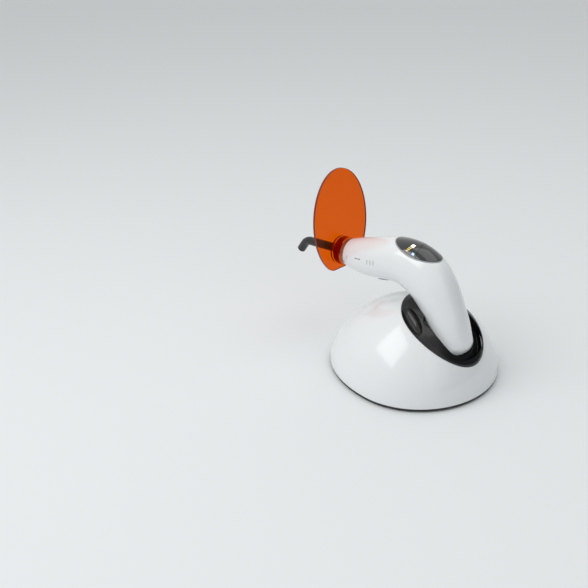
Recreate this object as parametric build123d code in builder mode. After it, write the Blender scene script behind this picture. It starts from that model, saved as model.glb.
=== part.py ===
from build123d import *
import os
from math import cos, radians, sin, tan

# A cordless dental curing light standing in its charging base. Millimetres, +Z up.
# The origin is on the table in the plane of symmetry, Y = 0, CROWN_X in front of the point
# under the dome's crown. The handpiece's nose points along -X and its grip leans back to +X.

os.makedirs("parts", exist_ok=True)

# Charging base
BASE_FRONT = 89.0            # from the crown of the dome forward to its front edge
BASE_REAR = 66.0             # from the crown back to its rear edge
BASE_HALF_WIDTH = 72.5
BASE_HEIGHT = 74.0           # crown above the table
DOME_FULLNESS = 0.45         # 0.55 would be a true ellipse, less is more pointed
CROWN_X = 14.0
BASE_WALL = 2.4
FOOT_HEIGHT = 1.2
FOOT_WIDTH = 6.0
FOOT_INSET = 3.0
PLATE_THICKNESS = 2.2
PLATE_INSET = 0.7
BOSS_RADIUS = 4.2
BOSS_INSET = 15.0            # boss axes inside the dome's edge
BOSS_FRONT_ANGLE = 44.0      # round the footprint from its long axis
BOSS_REAR_ANGLE = 60.0
BALLAST_INSET = 27.0
BALLAST_THICKNESS = 5.0
BALLAST_ROUND = 0.8
BALLAST_GAP = 1.0            # round the cradle's posts

# Cradle that the grip stands in
CRADLE_HALF_LENGTH = 37.0
CRADLE_HALF_WIDTH = 35.0
CRADLE_OFFSET = 21.5         # centre of the oval behind the crown
CRADLE_PROUD = 0.8
CRADLE_THICKNESS = 3.0
CRADLE_GAP = 0.15
FLANGE_GAP = 0.05
FLANGE_WIDTH = 3.0
FLANGE_THICKNESS = 1.6
FLANGE_START = 18.5          # lowest part of the flange over the base plate
POCKET_CLEARANCE = 0.6
POCKET_WALL = 2.0
SCOOP_LENGTH = 17.0          # half length of a finger scoop along the grip
SCOOP_WIDTH = 6.0
SCOOP_DEPTH = 5.5
SCOOP_WALL = 2.0
SCOOP_SIDE = 27.0            # scoop centre beside the plane of symmetry
SCOOP_BACK = 9.0             # scoop centre behind the crown
SCOOP_FALL = 8.0             # scoop centre under the crown
SCOOP_ROLL = 38.0
SCOOP_PITCH = 22.0
SCOOP_YAW = 22.0
DISH_DEPTH = 4.5             # sunk floor round the back of the grip, under the dome's skin
DISH_BACK = 11.5             # centre of the dish behind the cradle's
DISH_HALF_LENGTH = 23.0
DISH_HALF_WIDTH = 30.0
DISH_WALL = 2.0
POST_FORWARD = 4.0           # posts in front of the cradle's centre
POST_INSET = 8.0

# Handpiece
BARREL_LENGTH = 82.0         # elbow to nose, level
BARREL_DROOP = 5.6           # nose-down angle of the barrel
GRIP_LENGTH = 77.5           # elbow to butt
GRIP_CHORD = 56.3            # angle of the elbow-to-butt line under the horizontal
GRIP_DIP = 62.0              # angle of the grip's lower end, and of the lift, under the horizontal
ELBOW_BACK = -3.0            # elbow centre behind the crown
ELBOW_RISE = 24.0            # elbow centre over the crown
HAND_WALL = 2.2
NOSE_RADIUS = 13.5
ELBOW_HALF_HEIGHT = 23.0
ELBOW_HALF_WIDTH = 19.5
BUTT_RADIUS = 15.2
BUTT_ROUND = 9.0

# Display and keys
DISPLAY_BACK = -9.5          # display centre behind the crown
DISPLAY_HALF_LENGTH = 24.0
DISPLAY_HALF_WIDTH = 14.5
DISPLAY_TILT = 3.0
BEZEL_WIDTH = 0.9
BEZEL_DEPTH = 2.6
WINDOW_THICKNESS = 1.5
KEY_SPLIT = 3.0              # dividing line behind the display centre
KEY_SKEW = 14.0              # the dividing line's angle across the display
KEY_GAP = 0.3
KEY_TRAVEL = 0.5
KEY_DEPTH = 3.5
KEY_FOOT_GAP = 0.1
KEY_STEM_RADIUS = 1.5
KEY_STEM_LENGTH = 4.2
KEY_SWITCH_BACK = 7.0        # switch behind the display centre
KEY_SWITCH_SIZE = 5.0
KEY_SWITCH_HEIGHT = 1.6
DISPLAY_BOARD_RISE = 13.0    # display board over the elbow's centre
DISPLAY_BOARD_BACK = -5.5    # board's centre behind the display's
DISPLAY_BOARD_LENGTH = 31.0
DISPLAY_BOARD_WIDTH = 17.0
MODULE_BACK = -11.0
MODULE_LENGTH = 17.0
MODULE_WIDTH = 12.0
MODULE_HEIGHT = 3.0
MODULE_ROUND = 0.8
BUTTON_BACK = -48.0          # power button centre behind the crown
BUTTON_HALF_LENGTH = 8.0
BUTTON_HALF_WIDTH = 5.5
BUTTON_SLOPE = 10.0
BUTTON_PROUD = 1.0
BUTTON_TRAVEL = 0.9
BUTTON_INSIDE = 15.4         # inner face of the button under the button plane
BUTTON_RIM = 1.0
BUTTON_STEM_RADIUS = 1.6
BOARD_DROP = 6.0             # lower face of the main board under the button plane
BOARD_SHIFT = 12.5
SWITCH_SIZE = 6.0
SWITCH_TOP = 10.5
SWITCH_NIB = 1.0
SPRING_RADIUS = 4.9
BUZZER_RADIUS = 4.5
BUZZER_HEIGHT = 3.0
BUZZER_HOLE_DEPTH = 0.6

# Nose, light guide and shield, all on the barrel's axis
COLLAR_RADIUS = 12.6
COLLAR_LENGTH = 5.0
SPIGOT_RADIUS = 9.5
SPIGOT_LENGTH = 11.5
COLLAR_PLUG = 7.0
COLLAR_FIT = 0.1
RUNNING_FIT = 0.05
END_GAP = 0.3                # end play between pieces stacked along the axis
LENS_RADIUS = 5.2
FERRULE_RADIUS = 5.5
COLLET_WALL = 0.4
FERRULE_HEAD_RADIUS = 6.3
FERRULE_HEAD_LENGTH = 4.0
GUIDE_RADIUS = 4.0
GUIDE_CORE_RADIUS = 3.0
GUIDE_STRAIGHT = 33.0        # ferrule to the start of the bend
GUIDE_BEND_RADIUS = 12.0
GUIDE_BEND = 50.0
GUIDE_TIP = 8.0
SHIELD_THICKNESS = 2.2
SHIELD_FORWARD = 7.0         # plate in front of its hub's rear face
SHIELD_HALF_WIDTH = 34.0
SHIELD_HALF_HEIGHT = 50.0
SHIELD_RISE = 28.0           # oval's centre over the barrel's axis
SHIELD_DROP = 16.5           # cut edge under the barrel's axis
SHIELD_CORNER = 10.0
HUB_RING_WALL = 2.0
HUB_WALL = 1.7
GUIDE_SEAT = 2.0             # depth of the ferrule head's floor
EDGE_BREAK = 0.6

# Insides of the handpiece
EMITTER_SIDE = 4.2
EMITTER_BASE = 0.8
EMITTER_DOME_RADIUS = 1.6
EMITTER_DOME_HEIGHT = 0.6
LENS_LIFT = 2.0              # lens over the lamp board
LENS_ROUND = 2.0
SINK_RADIUS = 10.2
SINK_LENGTH = 18.0
SINK_FINS = 5
FIN_GAP = 1.6
CELL_RADIUS = 9.1
CELL_LENGTH = 50.0
CELL_START = 20.0            # cell's lower end inside the butt
CELL_SPRING_HEIGHT = 4.5
CELL_ROUND = 0.8
CELL_TIP_HEIGHT = 1.2
CELL_CAP_THICKNESS = 0.5
BOARD_THICKNESS = 1.6
BOARD_LENGTH = 44.0
BOARD_WIDTH = 22.0
HAND_BOSS_RADIUS = 3.0
FRONT_BOSS = (-51.0, 5.5)    # boss axes from the elbow, forward and up
ELBOW_BOSS = (-11.0, -12.0)
BUTT_BOSS_RISE = 10.5        # last boss inside the butt
PAD_SPACING = 10.0
PAD_RADIUS = 2.2
PAD_THICKNESS = 0.8
BLOCK_RADIUS = 8.5
BLOCK_DEPTH = 4.5
BLOCK_OVERCUT = 1.0

# Charging contacts in the base
PIN_RADIUS = 0.8
PIN_GAP = 0.15
SLEEVE_RADIUS = 1.6
SLEEVE_LENGTH = 7.5
SLEEVE_LIP = 1.2
SCREW_PILLAR_WALL = 0.7
CHARGING_BOARD_MARGIN = 3.5
CHARGING_BOARD_WIDTH = 15.0
BOARD_CORNER = 1.5
PIN_COLLAR_RADIUS = 1.25
PIN_COLLAR_LENGTH = 1.0
PIN_COLLAR_GAP = 0.05
BOARD_SCREW_SPACING = 21.0
WIRE_RADIUS = 0.2

# Screws
SCREW_RADIUS = 1.5
SCREW_HEAD_RADIUS = 2.8
SCREW_HEAD_HEIGHT = 1.4
SCREW_LENGTH = 9.0
SCREW_GAP = 0.2
SCREW_SLOT = 0.7
SMALL_SCREW_RADIUS = 1.0
SMALL_HEAD_RADIUS = 1.9
SMALL_HEAD_HEIGHT = 1.3
SMALL_SCREW_LENGTH = 6.0
HAND_SCREW_GRIP = 7.0        # screw length past the joint between the shells
HAND_HEAD_SEAT = 6.0         # seat of the screw heads beside that joint

# Mains adapter inlet, on the +Y side
INLET_X = CROWN_X
INLET_SETBACK = 4.0          # its face inside the edge of the footprint
INLET_DEPTH = 13.0
INLET_WIDTH = 9.0
INLET_TALL = 10.5
INLET_CORNER = 1.5
INLET_GAP = 0.2
INLET_BORE_RADIUS = 2.9
INLET_BORE_DEPTH = 9.5
INLET_PIN_RADIUS = 1.0
INLET_PIN_SETBACK = 1.0
INLET_BOARD_WIDTH = 16.0
INLET_BOARD_LENGTH = 18.0
INLET_BOARD_SETBACK = 1.0    # board's outer edge inside the inlet's face
STANDOFF_SETBACKS = (4.0, 15.0)
STANDOFF_HEIGHT = 2.5
STANDOFF_RADIUS = 2.5

SHELL_FLOOR = FOOT_HEIGHT + PLATE_THICKNESS
CRADLE_X = CROWN_X + CRADLE_OFFSET
ELBOW = Vector(CROWN_X + ELBOW_BACK, 0, BASE_HEIGHT + ELBOW_RISE)
NOSE = ELBOW + Vector(-BARREL_LENGTH, 0, -BARREL_LENGTH * tan(radians(BARREL_DROOP)))
BUTT = ELBOW + Vector(cos(radians(GRIP_CHORD)), 0, -sin(radians(GRIP_CHORD))) * GRIP_LENGTH

# Stations of the barrel: share of the way from the elbow to the nose, rise over the straight
# line between them, dip of the centreline, half height and half width of the section.
BARREL_STATIONS = (
    (1.00, 0.0, -BARREL_DROOP, NOSE_RADIUS, NOSE_RADIUS),
    (0.91, 0.3, -7.0, 15.2, 15.0),
    (0.68, 2.0, -7.0, 18.4, 17.5),
    (0.44, 5.3, -5.0, 19.9, 19.0),
    (0.21, 5.9, 6.0, 21.4, 19.5),
)
# Stations of the grip: share of the way from the elbow to the butt, and the same four sizes.
GRIP_STATIONS = (
    (0.00, 0.0, 27.0, ELBOW_HALF_HEIGHT, ELBOW_HALF_WIDTH),
    (0.24, 5.8, 47.0, 21.5, 19.0),
    (0.47, 5.5, 57.0, 19.5, 18.0),
    (0.70, 3.3, 61.0, 18.2, 17.6),
    (0.87, 1.2, GRIP_DIP, 16.6, 16.6),
)


def dip_plane(point, dip):
    """Plane across a centreline that runs back and down by dip degrees."""
    return Plane(origin=point, x_dir=(0, 1, 0), z_dir=(cos(radians(dip)), 0, -sin(radians(dip))))


def handpiece_solid(margin):
    """Whole handpiece body, with its skin moved out by margin, or in where it is negative."""
    with BuildPart() as body:
        for share, rise, dip, half_height, half_width in BARREL_STATIONS:
            place = ELBOW + (NOSE - ELBOW) * share + Vector(0, 0, rise)
            with BuildSketch(dip_plane(place, dip)):
                Ellipse(half_width + margin, half_height + margin)
        outward = Vector(sin(radians(GRIP_CHORD)), 0, cos(radians(GRIP_CHORD)))
        for share, bulge, dip, half_height, half_width in GRIP_STATIONS:
            place = ELBOW + (BUTT - ELBOW) * share + outward * bulge
            with BuildSketch(dip_plane(place, dip)):
                Ellipse(half_width + margin, half_height + margin)
        with BuildSketch(dip_plane(BUTT, GRIP_DIP).offset(margin)):
            Circle(BUTT_RADIUS + margin)
        loft()
        end_face = body.faces().filter_by(GeomType.PLANE).sort_by(Axis.Z)[0]
        fillet(end_face.edges(), BUTT_ROUND + margin)
    return body.part


def dome_solid(margin):
    """Solid under the dome's skin moved in by margin, standing where the shell stands."""
    side = BASE_HALF_WIDTH - margin
    height = BASE_HEIGHT - SHELL_FLOOR - margin
    with BuildPart() as revolved:
        with BuildSketch(Plane.XZ):
            with BuildLine():
                Bezier(
                    (side, 0),
                    (side, DOME_FULLNESS * height),
                    (DOME_FULLNESS * side, height),
                    (0, height),
                )
                Polyline((0, height), (0, 0), (side, 0))
            make_face()
        revolve(axis=Axis.Z)
    front_half = split(revolved.part, bisect_by=Plane.YZ, keep=Keep.BOTTOM)
    rear_half = split(revolved.part, bisect_by=Plane.YZ, keep=Keep.TOP)
    front_half = scale(front_half, by=((BASE_FRONT - margin) / side, 1, 1), about=(0, 0, 0))
    rear_half = scale(rear_half, by=((BASE_REAR - margin) / side, 1, 1), about=(0, 0, 0))
    with BuildPart() as dome:
        add(front_half)
        add(rear_half)
    return dome.part.moved(Location((CROWN_X, 0, SHELL_FLOOR)))


def base_outline(inset):
    """Closed footprint of the base, inside its edge by inset: two half ellipses."""
    half = BASE_HALF_WIDTH - inset
    with BuildSketch(mode=Mode.PRIVATE) as outline:
        with BuildLine():
            EllipticalCenterArc((CROWN_X, 0), BASE_REAR - inset, half, start_angle=-90, arc_size=180)
            EllipticalCenterArc((CROWN_X, 0), BASE_FRONT - inset, half, start_angle=90, arc_size=180)
        make_face()
    return outline.sketch


def oval_prism(plane, half_length, half_width, height):
    """Oval block that rises height along the plane's normal, long side along the plane's x."""
    with BuildPart() as block:
        with BuildSketch(plane):
            Ellipse(half_length, half_width)
        extrude(amount=height)
    return block.part


def coil(plane, radius, height, turns):
    """Wire of a compression spring standing on the plane."""
    rise = height - 2 * WIRE_RADIUS
    path = plane.offset(WIRE_RADIUS).location * Helix(pitch=rise / turns, height=rise, radius=radius)
    with BuildPart() as spring:
        with BuildSketch(Plane(origin=path @ 0, z_dir=path % 0)):
            Circle(WIRE_RADIUS)
        sweep(path=path)
    return spring.part


def layer(outer_depth, inner_depth):
    """Skin of the handpiece between two depths under its surface."""
    outer = handpiece_solid(-outer_depth)
    inner = handpiece_solid(-inner_depth)
    with BuildPart() as shell:
        add(outer)
        add(inner, mode=Mode.SUBTRACT)
    return shell.part


# ---------------------------------------------------------------------------------------------
# Shared planes and solids
# ---------------------------------------------------------------------------------------------

skin = handpiece_solid(0)
shell_layer = layer(0, HAND_WALL)
dome_skin = dome_solid(0)
dome_hollow = dome_solid(BASE_WALL)
dome_middle = dome_solid(BASE_WALL / 2)

# The nose plane looks out along the barrel, the butt plane out along the grip.
nose = Plane(
    origin=NOSE,
    x_dir=(0, 1, 0),
    z_dir=(-cos(radians(BARREL_DROOP)), 0, -sin(radians(BARREL_DROOP))),
)
butt = dip_plane(BUTT, GRIP_DIP)

# The display plane's x runs back along the handpiece and its z up out of it.
display = Plane(
    origin=(CROWN_X + DISPLAY_BACK, 0, BASE_HEIGHT + ELBOW_RISE),
    x_dir=(cos(radians(DISPLAY_TILT)), 0, -sin(radians(DISPLAY_TILT))),
    z_dir=(sin(radians(DISPLAY_TILT)), 0, cos(radians(DISPLAY_TILT))),
)
# The button plane's x runs back along the barrel's underside and its z down out of it.
button = Plane(
    origin=(CROWN_X + BUTTON_BACK, 0, BASE_HEIGHT + ELBOW_RISE),
    x_dir=(cos(radians(BUTTON_SLOPE)), 0, sin(radians(BUTTON_SLOPE))),
    z_dir=(sin(radians(BUTTON_SLOPE)), 0, -cos(radians(BUTTON_SLOPE))),
)

# The shell's four screws stand on a smaller footprint, the cradle's two beside its centre.
boss_front = CROWN_X - (BASE_FRONT - BOSS_INSET) * cos(radians(BOSS_FRONT_ANGLE))
boss_rear = CROWN_X + (BASE_REAR - BOSS_INSET) * cos(radians(BOSS_REAR_ANGLE))
boss_front_side = (BASE_HALF_WIDTH - BOSS_INSET) * sin(radians(BOSS_FRONT_ANGLE))
boss_rear_side = (BASE_HALF_WIDTH - BOSS_INSET) * sin(radians(BOSS_REAR_ANGLE))
boss_points = [
    (boss_front, boss_front_side),
    (boss_front, -boss_front_side),
    (boss_rear, boss_rear_side),
    (boss_rear, -boss_rear_side),
]
post_points = [
    (CRADLE_X - POST_FORWARD, CRADLE_HALF_WIDTH - POST_INSET),
    (CRADLE_X - POST_FORWARD, -CRADLE_HALF_WIDTH + POST_INSET),
]


# ---------------------------------------------------------------------------------------------
# Charging base
# ---------------------------------------------------------------------------------------------

with BuildPart() as foot_ring:
    with BuildSketch():
        add(base_outline(FOOT_INSET))
        add(base_outline(FOOT_INSET + FOOT_WIDTH), mode=Mode.SUBTRACT)
    extrude(amount=FOOT_HEIGHT)
foot_ring.part.label = "foot_ring"
export_step(foot_ring.part, "parts/foot_ring.step")

inlet_face = BASE_HALF_WIDTH - INLET_SETBACK
inlet_floor = SHELL_FLOOR + STANDOFF_HEIGHT + BOARD_THICKNESS
inlet = Plane(
    origin=(INLET_X, inlet_face, inlet_floor + INLET_TALL / 2), x_dir=(-1, 0, 0), z_dir=(0, 1, 0)
)
standoff_points = [(INLET_X, inlet_face - setback) for setback in STANDOFF_SETBACKS]

with BuildPart() as base_plate:
    with BuildSketch(Plane.XY.offset(FOOT_HEIGHT)):
        add(base_outline(PLATE_INSET))
    extrude(amount=PLATE_THICKNESS)
    with BuildSketch(Plane.XY.offset(SHELL_FLOOR)):
        with Locations(*standoff_points):
            Circle(STANDOFF_RADIUS)
    extrude(amount=STANDOFF_HEIGHT)
    with BuildSketch(Plane.XY.offset(FOOT_HEIGHT)):
        with Locations(*boss_points, *post_points):
            Circle(SCREW_HEAD_RADIUS + SCREW_GAP)
    extrude(amount=SCREW_HEAD_HEIGHT, mode=Mode.SUBTRACT)
    with BuildSketch(Plane.XY.offset(FOOT_HEIGHT)):
        with Locations(*boss_points, *post_points):
            Circle(SCREW_RADIUS + SCREW_GAP)
    extrude(amount=PLATE_THICKNESS, mode=Mode.SUBTRACT)
base_plate.part.label = "base_plate"
export_step(base_plate.part, "parts/base_plate.step")

# Each boss is a column from the plate up to the dome, trimmed inside the dome's skin.
with BuildPart() as shell_bosses:
    with BuildSketch(Plane.XY.offset(SHELL_FLOOR)):
        with Locations(*boss_points):
            Circle(BOSS_RADIUS)
    extrude(amount=BASE_HEIGHT)
    add(dome_middle, mode=Mode.INTERSECT)

cradle_opening = oval_prism(
    Plane(origin=(CRADLE_X, 0, SHELL_FLOOR)),
    CRADLE_HALF_LENGTH + CRADLE_GAP,
    CRADLE_HALF_WIDTH + CRADLE_GAP,
    BASE_HEIGHT,
)

with BuildPart() as base_shell:
    add(dome_skin)
    add(dome_hollow, mode=Mode.SUBTRACT)
    add(shell_bosses.part)
    with BuildSketch(Plane.XY.offset(SHELL_FLOOR)):
        with Locations(*boss_points):
            Circle(SCREW_RADIUS)
    extrude(amount=SCREW_LENGTH, mode=Mode.SUBTRACT)
    add(cradle_opening, mode=Mode.SUBTRACT)
    with BuildSketch(inlet.offset(-INLET_DEPTH)):
        RectangleRounded(
            INLET_WIDTH + 2 * INLET_GAP, INLET_TALL + 2 * INLET_GAP, INLET_CORNER + INLET_GAP
        )
    extrude(amount=INLET_DEPTH + INLET_SETBACK + BASE_WALL, mode=Mode.SUBTRACT)
base_shell.part.label = "base_shell"
export_step(base_shell.part, "parts/base_shell.step")

with BuildPart() as base_screws:
    with BuildSketch(Plane.XY.offset(FOOT_HEIGHT)):
        with Locations(*boss_points, *post_points):
            Circle(SCREW_HEAD_RADIUS)
    extrude(amount=SCREW_HEAD_HEIGHT)
    with BuildSketch(Plane.XY.offset(FOOT_HEIGHT + SCREW_HEAD_HEIGHT)):
        with Locations(*boss_points, *post_points):
            Circle(SCREW_RADIUS)
    extrude(amount=SCREW_LENGTH)
    with BuildSketch(Plane.XY.offset(FOOT_HEIGHT)):
        with Locations(*boss_points, *post_points):
            Rectangle(SCREW_HEAD_RADIUS * 1.3, SCREW_SLOT)
            Rectangle(SCREW_SLOT, SCREW_HEAD_RADIUS * 1.3)
    extrude(amount=SCREW_SLOT, mode=Mode.SUBTRACT)
base_screws.part.label = "base_screws"
export_step(base_screws.part, "parts/base_screws.step")

with BuildPart() as ballast:
    with BuildSketch(Plane.XY.offset(SHELL_FLOOR)):
        add(base_outline(BALLAST_INSET))
        with Locations(*post_points):
            Circle(BOSS_RADIUS + BALLAST_GAP, mode=Mode.SUBTRACT)
    extrude(amount=BALLAST_THICKNESS)
    fillet(ballast.edges().group_by(Axis.Z)[-1], BALLAST_ROUND)
ballast.part.label = "ballast_plate"
export_step(ballast.part, "parts/ballast_plate.step")

with BuildPart() as inlet_board:
    with BuildSketch(Plane.XY.offset(SHELL_FLOOR + STANDOFF_HEIGHT)):
        with Locations((INLET_X, inlet_face - INLET_BOARD_SETBACK - INLET_BOARD_LENGTH / 2)):
            Rectangle(INLET_BOARD_WIDTH, INLET_BOARD_LENGTH)
    extrude(amount=BOARD_THICKNESS)
inlet_board.part.label = "inlet_board"
export_step(inlet_board.part, "parts/inlet_board.step")

with BuildPart() as dc_inlet:
    with BuildSketch(inlet):
        RectangleRounded(INLET_WIDTH, INLET_TALL, INLET_CORNER)
    extrude(amount=-INLET_DEPTH)
    with BuildSketch(inlet):
        Circle(INLET_BORE_RADIUS)
    extrude(amount=-INLET_BORE_DEPTH, mode=Mode.SUBTRACT)
dc_inlet.part.label = "dc_inlet"
export_step(dc_inlet.part, "parts/dc_inlet.step")

with BuildPart() as inlet_pin:
    with BuildSketch(inlet.offset(-INLET_BORE_DEPTH)):
        Circle(INLET_PIN_RADIUS)
    extrude(amount=INLET_BORE_DEPTH - INLET_PIN_SETBACK)
    fillet(inlet_pin.edges().sort_by(Axis.Y)[-1], INLET_PIN_RADIUS / 2)
inlet_pin.part.label = "inlet_pin"
export_step(inlet_pin.part, "parts/inlet_pin.step")

# ---------------------------------------------------------------------------------------------
# Cradle, with the pocket for the grip, a dish behind it and a finger scoop on each side
# ---------------------------------------------------------------------------------------------

cradle_top = dome_solid(-CRADLE_PROUD)
cradle_inside = dome_solid(CRADLE_THICKNESS - CRADLE_PROUD)
cradle_oval = oval_prism(
    Plane(origin=(CRADLE_X, 0, SHELL_FLOOR)), CRADLE_HALF_LENGTH, CRADLE_HALF_WIDTH, BASE_HEIGHT * 2
)
flange_outside = dome_solid(BASE_WALL + FLANGE_GAP)
flange_inside = dome_solid(BASE_WALL + FLANGE_GAP + FLANGE_THICKNESS)


def scoop_solid(side, grow):
    """Ellipsoid that hollows the finger scoop on one side, larger all round by grow."""
    ball = Sphere(1.0)
    ball = scale(ball, by=(SCOOP_LENGTH + grow, SCOOP_WIDTH + grow, SCOOP_DEPTH + grow))
    ball = ball.rotate(Axis.X, -side * SCOOP_ROLL)
    ball = ball.rotate(Axis.Y, SCOOP_PITCH)
    ball = ball.rotate(Axis.Z, side * SCOOP_YAW)
    return ball.moved(Location((CROWN_X + SCOOP_BACK, side * SCOOP_SIDE, BASE_HEIGHT - SCOOP_FALL)))


left_scoop = scoop_solid(1, 0)
right_scoop = scoop_solid(-1, 0)
left_bowl = scoop_solid(1, SCOOP_WALL)
right_bowl = scoop_solid(-1, SCOOP_WALL)
dish_place = Plane(origin=(CRADLE_X + DISH_BACK, 0, SHELL_FLOOR))
dish_oval = oval_prism(dish_place, DISH_HALF_LENGTH, DISH_HALF_WIDTH, BASE_HEIGHT * 2)
bowl_oval = oval_prism(
    dish_place, DISH_HALF_LENGTH + DISH_WALL, DISH_HALF_WIDTH + DISH_WALL, BASE_HEIGHT * 2
)
dish_floor = dome_solid(DISH_DEPTH)
dish_under = dome_solid(DISH_DEPTH + DISH_WALL)
pocket = handpiece_solid(POCKET_CLEARANCE)
pocket_outside = handpiece_solid(POCKET_CLEARANCE + POCKET_WALL)

with BuildPart() as cradle_plate:
    add(cradle_oval)
    add(cradle_top, mode=Mode.INTERSECT)
    add(cradle_inside, mode=Mode.SUBTRACT)

with BuildPart() as cradle_flange:
    with BuildSketch(Plane.XY.offset(SHELL_FLOOR + FLANGE_START)):
        with Locations((CRADLE_X, 0)):
            Ellipse(CRADLE_HALF_LENGTH + FLANGE_WIDTH, CRADLE_HALF_WIDTH + FLANGE_WIDTH)
    extrude(amount=BASE_HEIGHT)
    add(flange_outside, mode=Mode.INTERSECT)
    add(flange_inside, mode=Mode.SUBTRACT)

with BuildPart() as dish:
    add(dish_oval)
    add(dish_floor, mode=Mode.SUBTRACT)

with BuildPart() as dish_bowl:
    add(bowl_oval)
    add(cradle_oval, mode=Mode.INTERSECT)
    add(dome_skin, mode=Mode.INTERSECT)
    add(dish_under, mode=Mode.SUBTRACT)

# The pocket's wall, the scoops' bowls and the two posts all end under the cradle's top.
with BuildPart() as cradle_inner:
    add(pocket_outside)
    add(left_bowl)
    add(right_bowl)
    with BuildSketch(Plane.XY.offset(SHELL_FLOOR)):
        with Locations(*post_points):
            Circle(BOSS_RADIUS)
    extrude(amount=BASE_HEIGHT)
    add(dome_skin, mode=Mode.INTERSECT)
    add(cradle_oval, mode=Mode.INTERSECT)

with BuildPart() as cradle:
    add(cradle_plate.part)
    add(cradle_flange.part)
    add(cradle_inner.part)
    add(dish_bowl.part)
    with BuildSketch(butt.offset(POCKET_CLEARANCE)):
        with Locations((BOARD_SCREW_SPACING / 2, 0), (-BOARD_SCREW_SPACING / 2, 0)):
            Circle(SLEEVE_RADIUS + SCREW_PILLAR_WALL)
    extrude(amount=POCKET_WALL + SLEEVE_LENGTH)
    add(dish.part, mode=Mode.SUBTRACT)
    add(pocket, mode=Mode.SUBTRACT)
    add(left_scoop, mode=Mode.SUBTRACT)
    add(right_scoop, mode=Mode.SUBTRACT)
    with BuildSketch(Plane.XY.offset(SHELL_FLOOR)):
        with Locations(*post_points):
            Circle(SCREW_RADIUS)
    extrude(amount=SCREW_LENGTH, mode=Mode.SUBTRACT)
    with BuildSketch(butt):
        with Locations((PAD_SPACING / 2, 0), (-PAD_SPACING / 2, 0)):
            Circle(PIN_RADIUS + RUNNING_FIT * 3)
    extrude(amount=POCKET_CLEARANCE + POCKET_WALL, mode=Mode.SUBTRACT)
    with BuildSketch(butt.offset(POCKET_CLEARANCE + POCKET_WALL + SLEEVE_LENGTH)):
        with Locations((BOARD_SCREW_SPACING / 2, 0), (-BOARD_SCREW_SPACING / 2, 0)):
            Circle(SMALL_SCREW_RADIUS)
    extrude(amount=-SMALL_SCREW_LENGTH, mode=Mode.SUBTRACT)
cradle.part.label = "cradle"
export_step(cradle.part, "parts/cradle.step")

# ---------------------------------------------------------------------------------------------
# Charging contacts under the pocket
# ---------------------------------------------------------------------------------------------

sleeve_top = butt.offset(POCKET_CLEARANCE + POCKET_WALL)
board_top = sleeve_top.offset(SLEEVE_LENGTH)
pad_places = [(PAD_SPACING / 2, 0), (-PAD_SPACING / 2, 0)]
board_screw_places = [(BOARD_SCREW_SPACING / 2, 0), (-BOARD_SCREW_SPACING / 2, 0)]

with BuildPart() as charging_board:
    with BuildSketch(board_top):
        RectangleRounded(
            BOARD_SCREW_SPACING + 2 * CHARGING_BOARD_MARGIN, CHARGING_BOARD_WIDTH, BOARD_CORNER
        )
        with Locations(*board_screw_places):
            Circle(SMALL_SCREW_RADIUS + SCREW_GAP, mode=Mode.SUBTRACT)
    extrude(amount=BOARD_THICKNESS)
charging_board.part.label = "charging_board"
export_step(charging_board.part, "parts/charging_board.step")

with BuildPart() as board_screws:
    with BuildSketch(board_top.offset(BOARD_THICKNESS)):
        with Locations(*board_screw_places):
            Circle(SMALL_HEAD_RADIUS)
    extrude(amount=SMALL_HEAD_HEIGHT)
    with BuildSketch(board_top.offset(BOARD_THICKNESS)):
        with Locations(*board_screw_places):
            Circle(SMALL_SCREW_RADIUS)
    extrude(amount=-SMALL_SCREW_LENGTH)
board_screws.part.label = "board_screws"
export_step(board_screws.part, "parts/board_screws.step")

with BuildPart() as contact_sleeves:
    with BuildSketch(sleeve_top):
        with Locations(*pad_places):
            Circle(SLEEVE_RADIUS)
            Circle(PIN_RADIUS + RUNNING_FIT, mode=Mode.SUBTRACT)
    extrude(amount=SLEEVE_LIP)
    with BuildSketch(sleeve_top.offset(SLEEVE_LIP)):
        with Locations(*pad_places):
            Circle(SLEEVE_RADIUS)
            Circle(PIN_COLLAR_RADIUS + RUNNING_FIT, mode=Mode.SUBTRACT)
    extrude(amount=SLEEVE_LENGTH - SLEEVE_LIP)
contact_sleeves.part.label = "contact_sleeves"
export_step(contact_sleeves.part, "parts/contact_sleeves.step")

collar_start = POCKET_CLEARANCE + POCKET_WALL + SLEEVE_LIP + PIN_COLLAR_GAP
spring_room = POCKET_CLEARANCE + POCKET_WALL + SLEEVE_LENGTH - collar_start - PIN_COLLAR_LENGTH

with BuildPart() as left_pin:
    with BuildSketch(butt.offset(PIN_GAP)):
        with Locations(pad_places[0]):
            Circle(PIN_RADIUS)
    extrude(amount=collar_start + PIN_COLLAR_LENGTH - PIN_GAP)
    fillet(left_pin.faces().sort_by(Axis.Z)[-1].edges(), PIN_RADIUS / 2)
    with BuildSketch(butt.offset(collar_start)):
        with Locations(pad_places[0]):
            Circle(PIN_COLLAR_RADIUS)
    extrude(amount=PIN_COLLAR_LENGTH)
left_pin.part.label = "contact_pin_left"
export_step(left_pin.part, "parts/contact_pin_left.step")

with BuildPart() as right_pin:
    add(left_pin.part)
    mirror(about=Plane.XZ, mode=Mode.REPLACE)
right_pin.part.label = "contact_pin_right"
export_step(right_pin.part, "parts/contact_pin_right.step")

pin_end = Plane(
    origin=butt.from_local_coords((*pad_places[0], collar_start + PIN_COLLAR_LENGTH)),
    x_dir=butt.x_dir,
    z_dir=butt.z_dir,
)
pin_coil = coil(pin_end, PIN_COLLAR_RADIUS - WIRE_RADIUS, spring_room, 5)
with BuildPart() as left_spring:
    add(pin_coil)
left_spring.part.label = "contact_spring_left"
export_step(left_spring.part, "parts/contact_spring_left.step")

with BuildPart() as right_spring:
    add(pin_coil)
    mirror(about=Plane.XZ, mode=Mode.REPLACE)
right_spring.part.label = "contact_spring_right"
export_step(right_spring.part, "parts/contact_spring_right.step")

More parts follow.
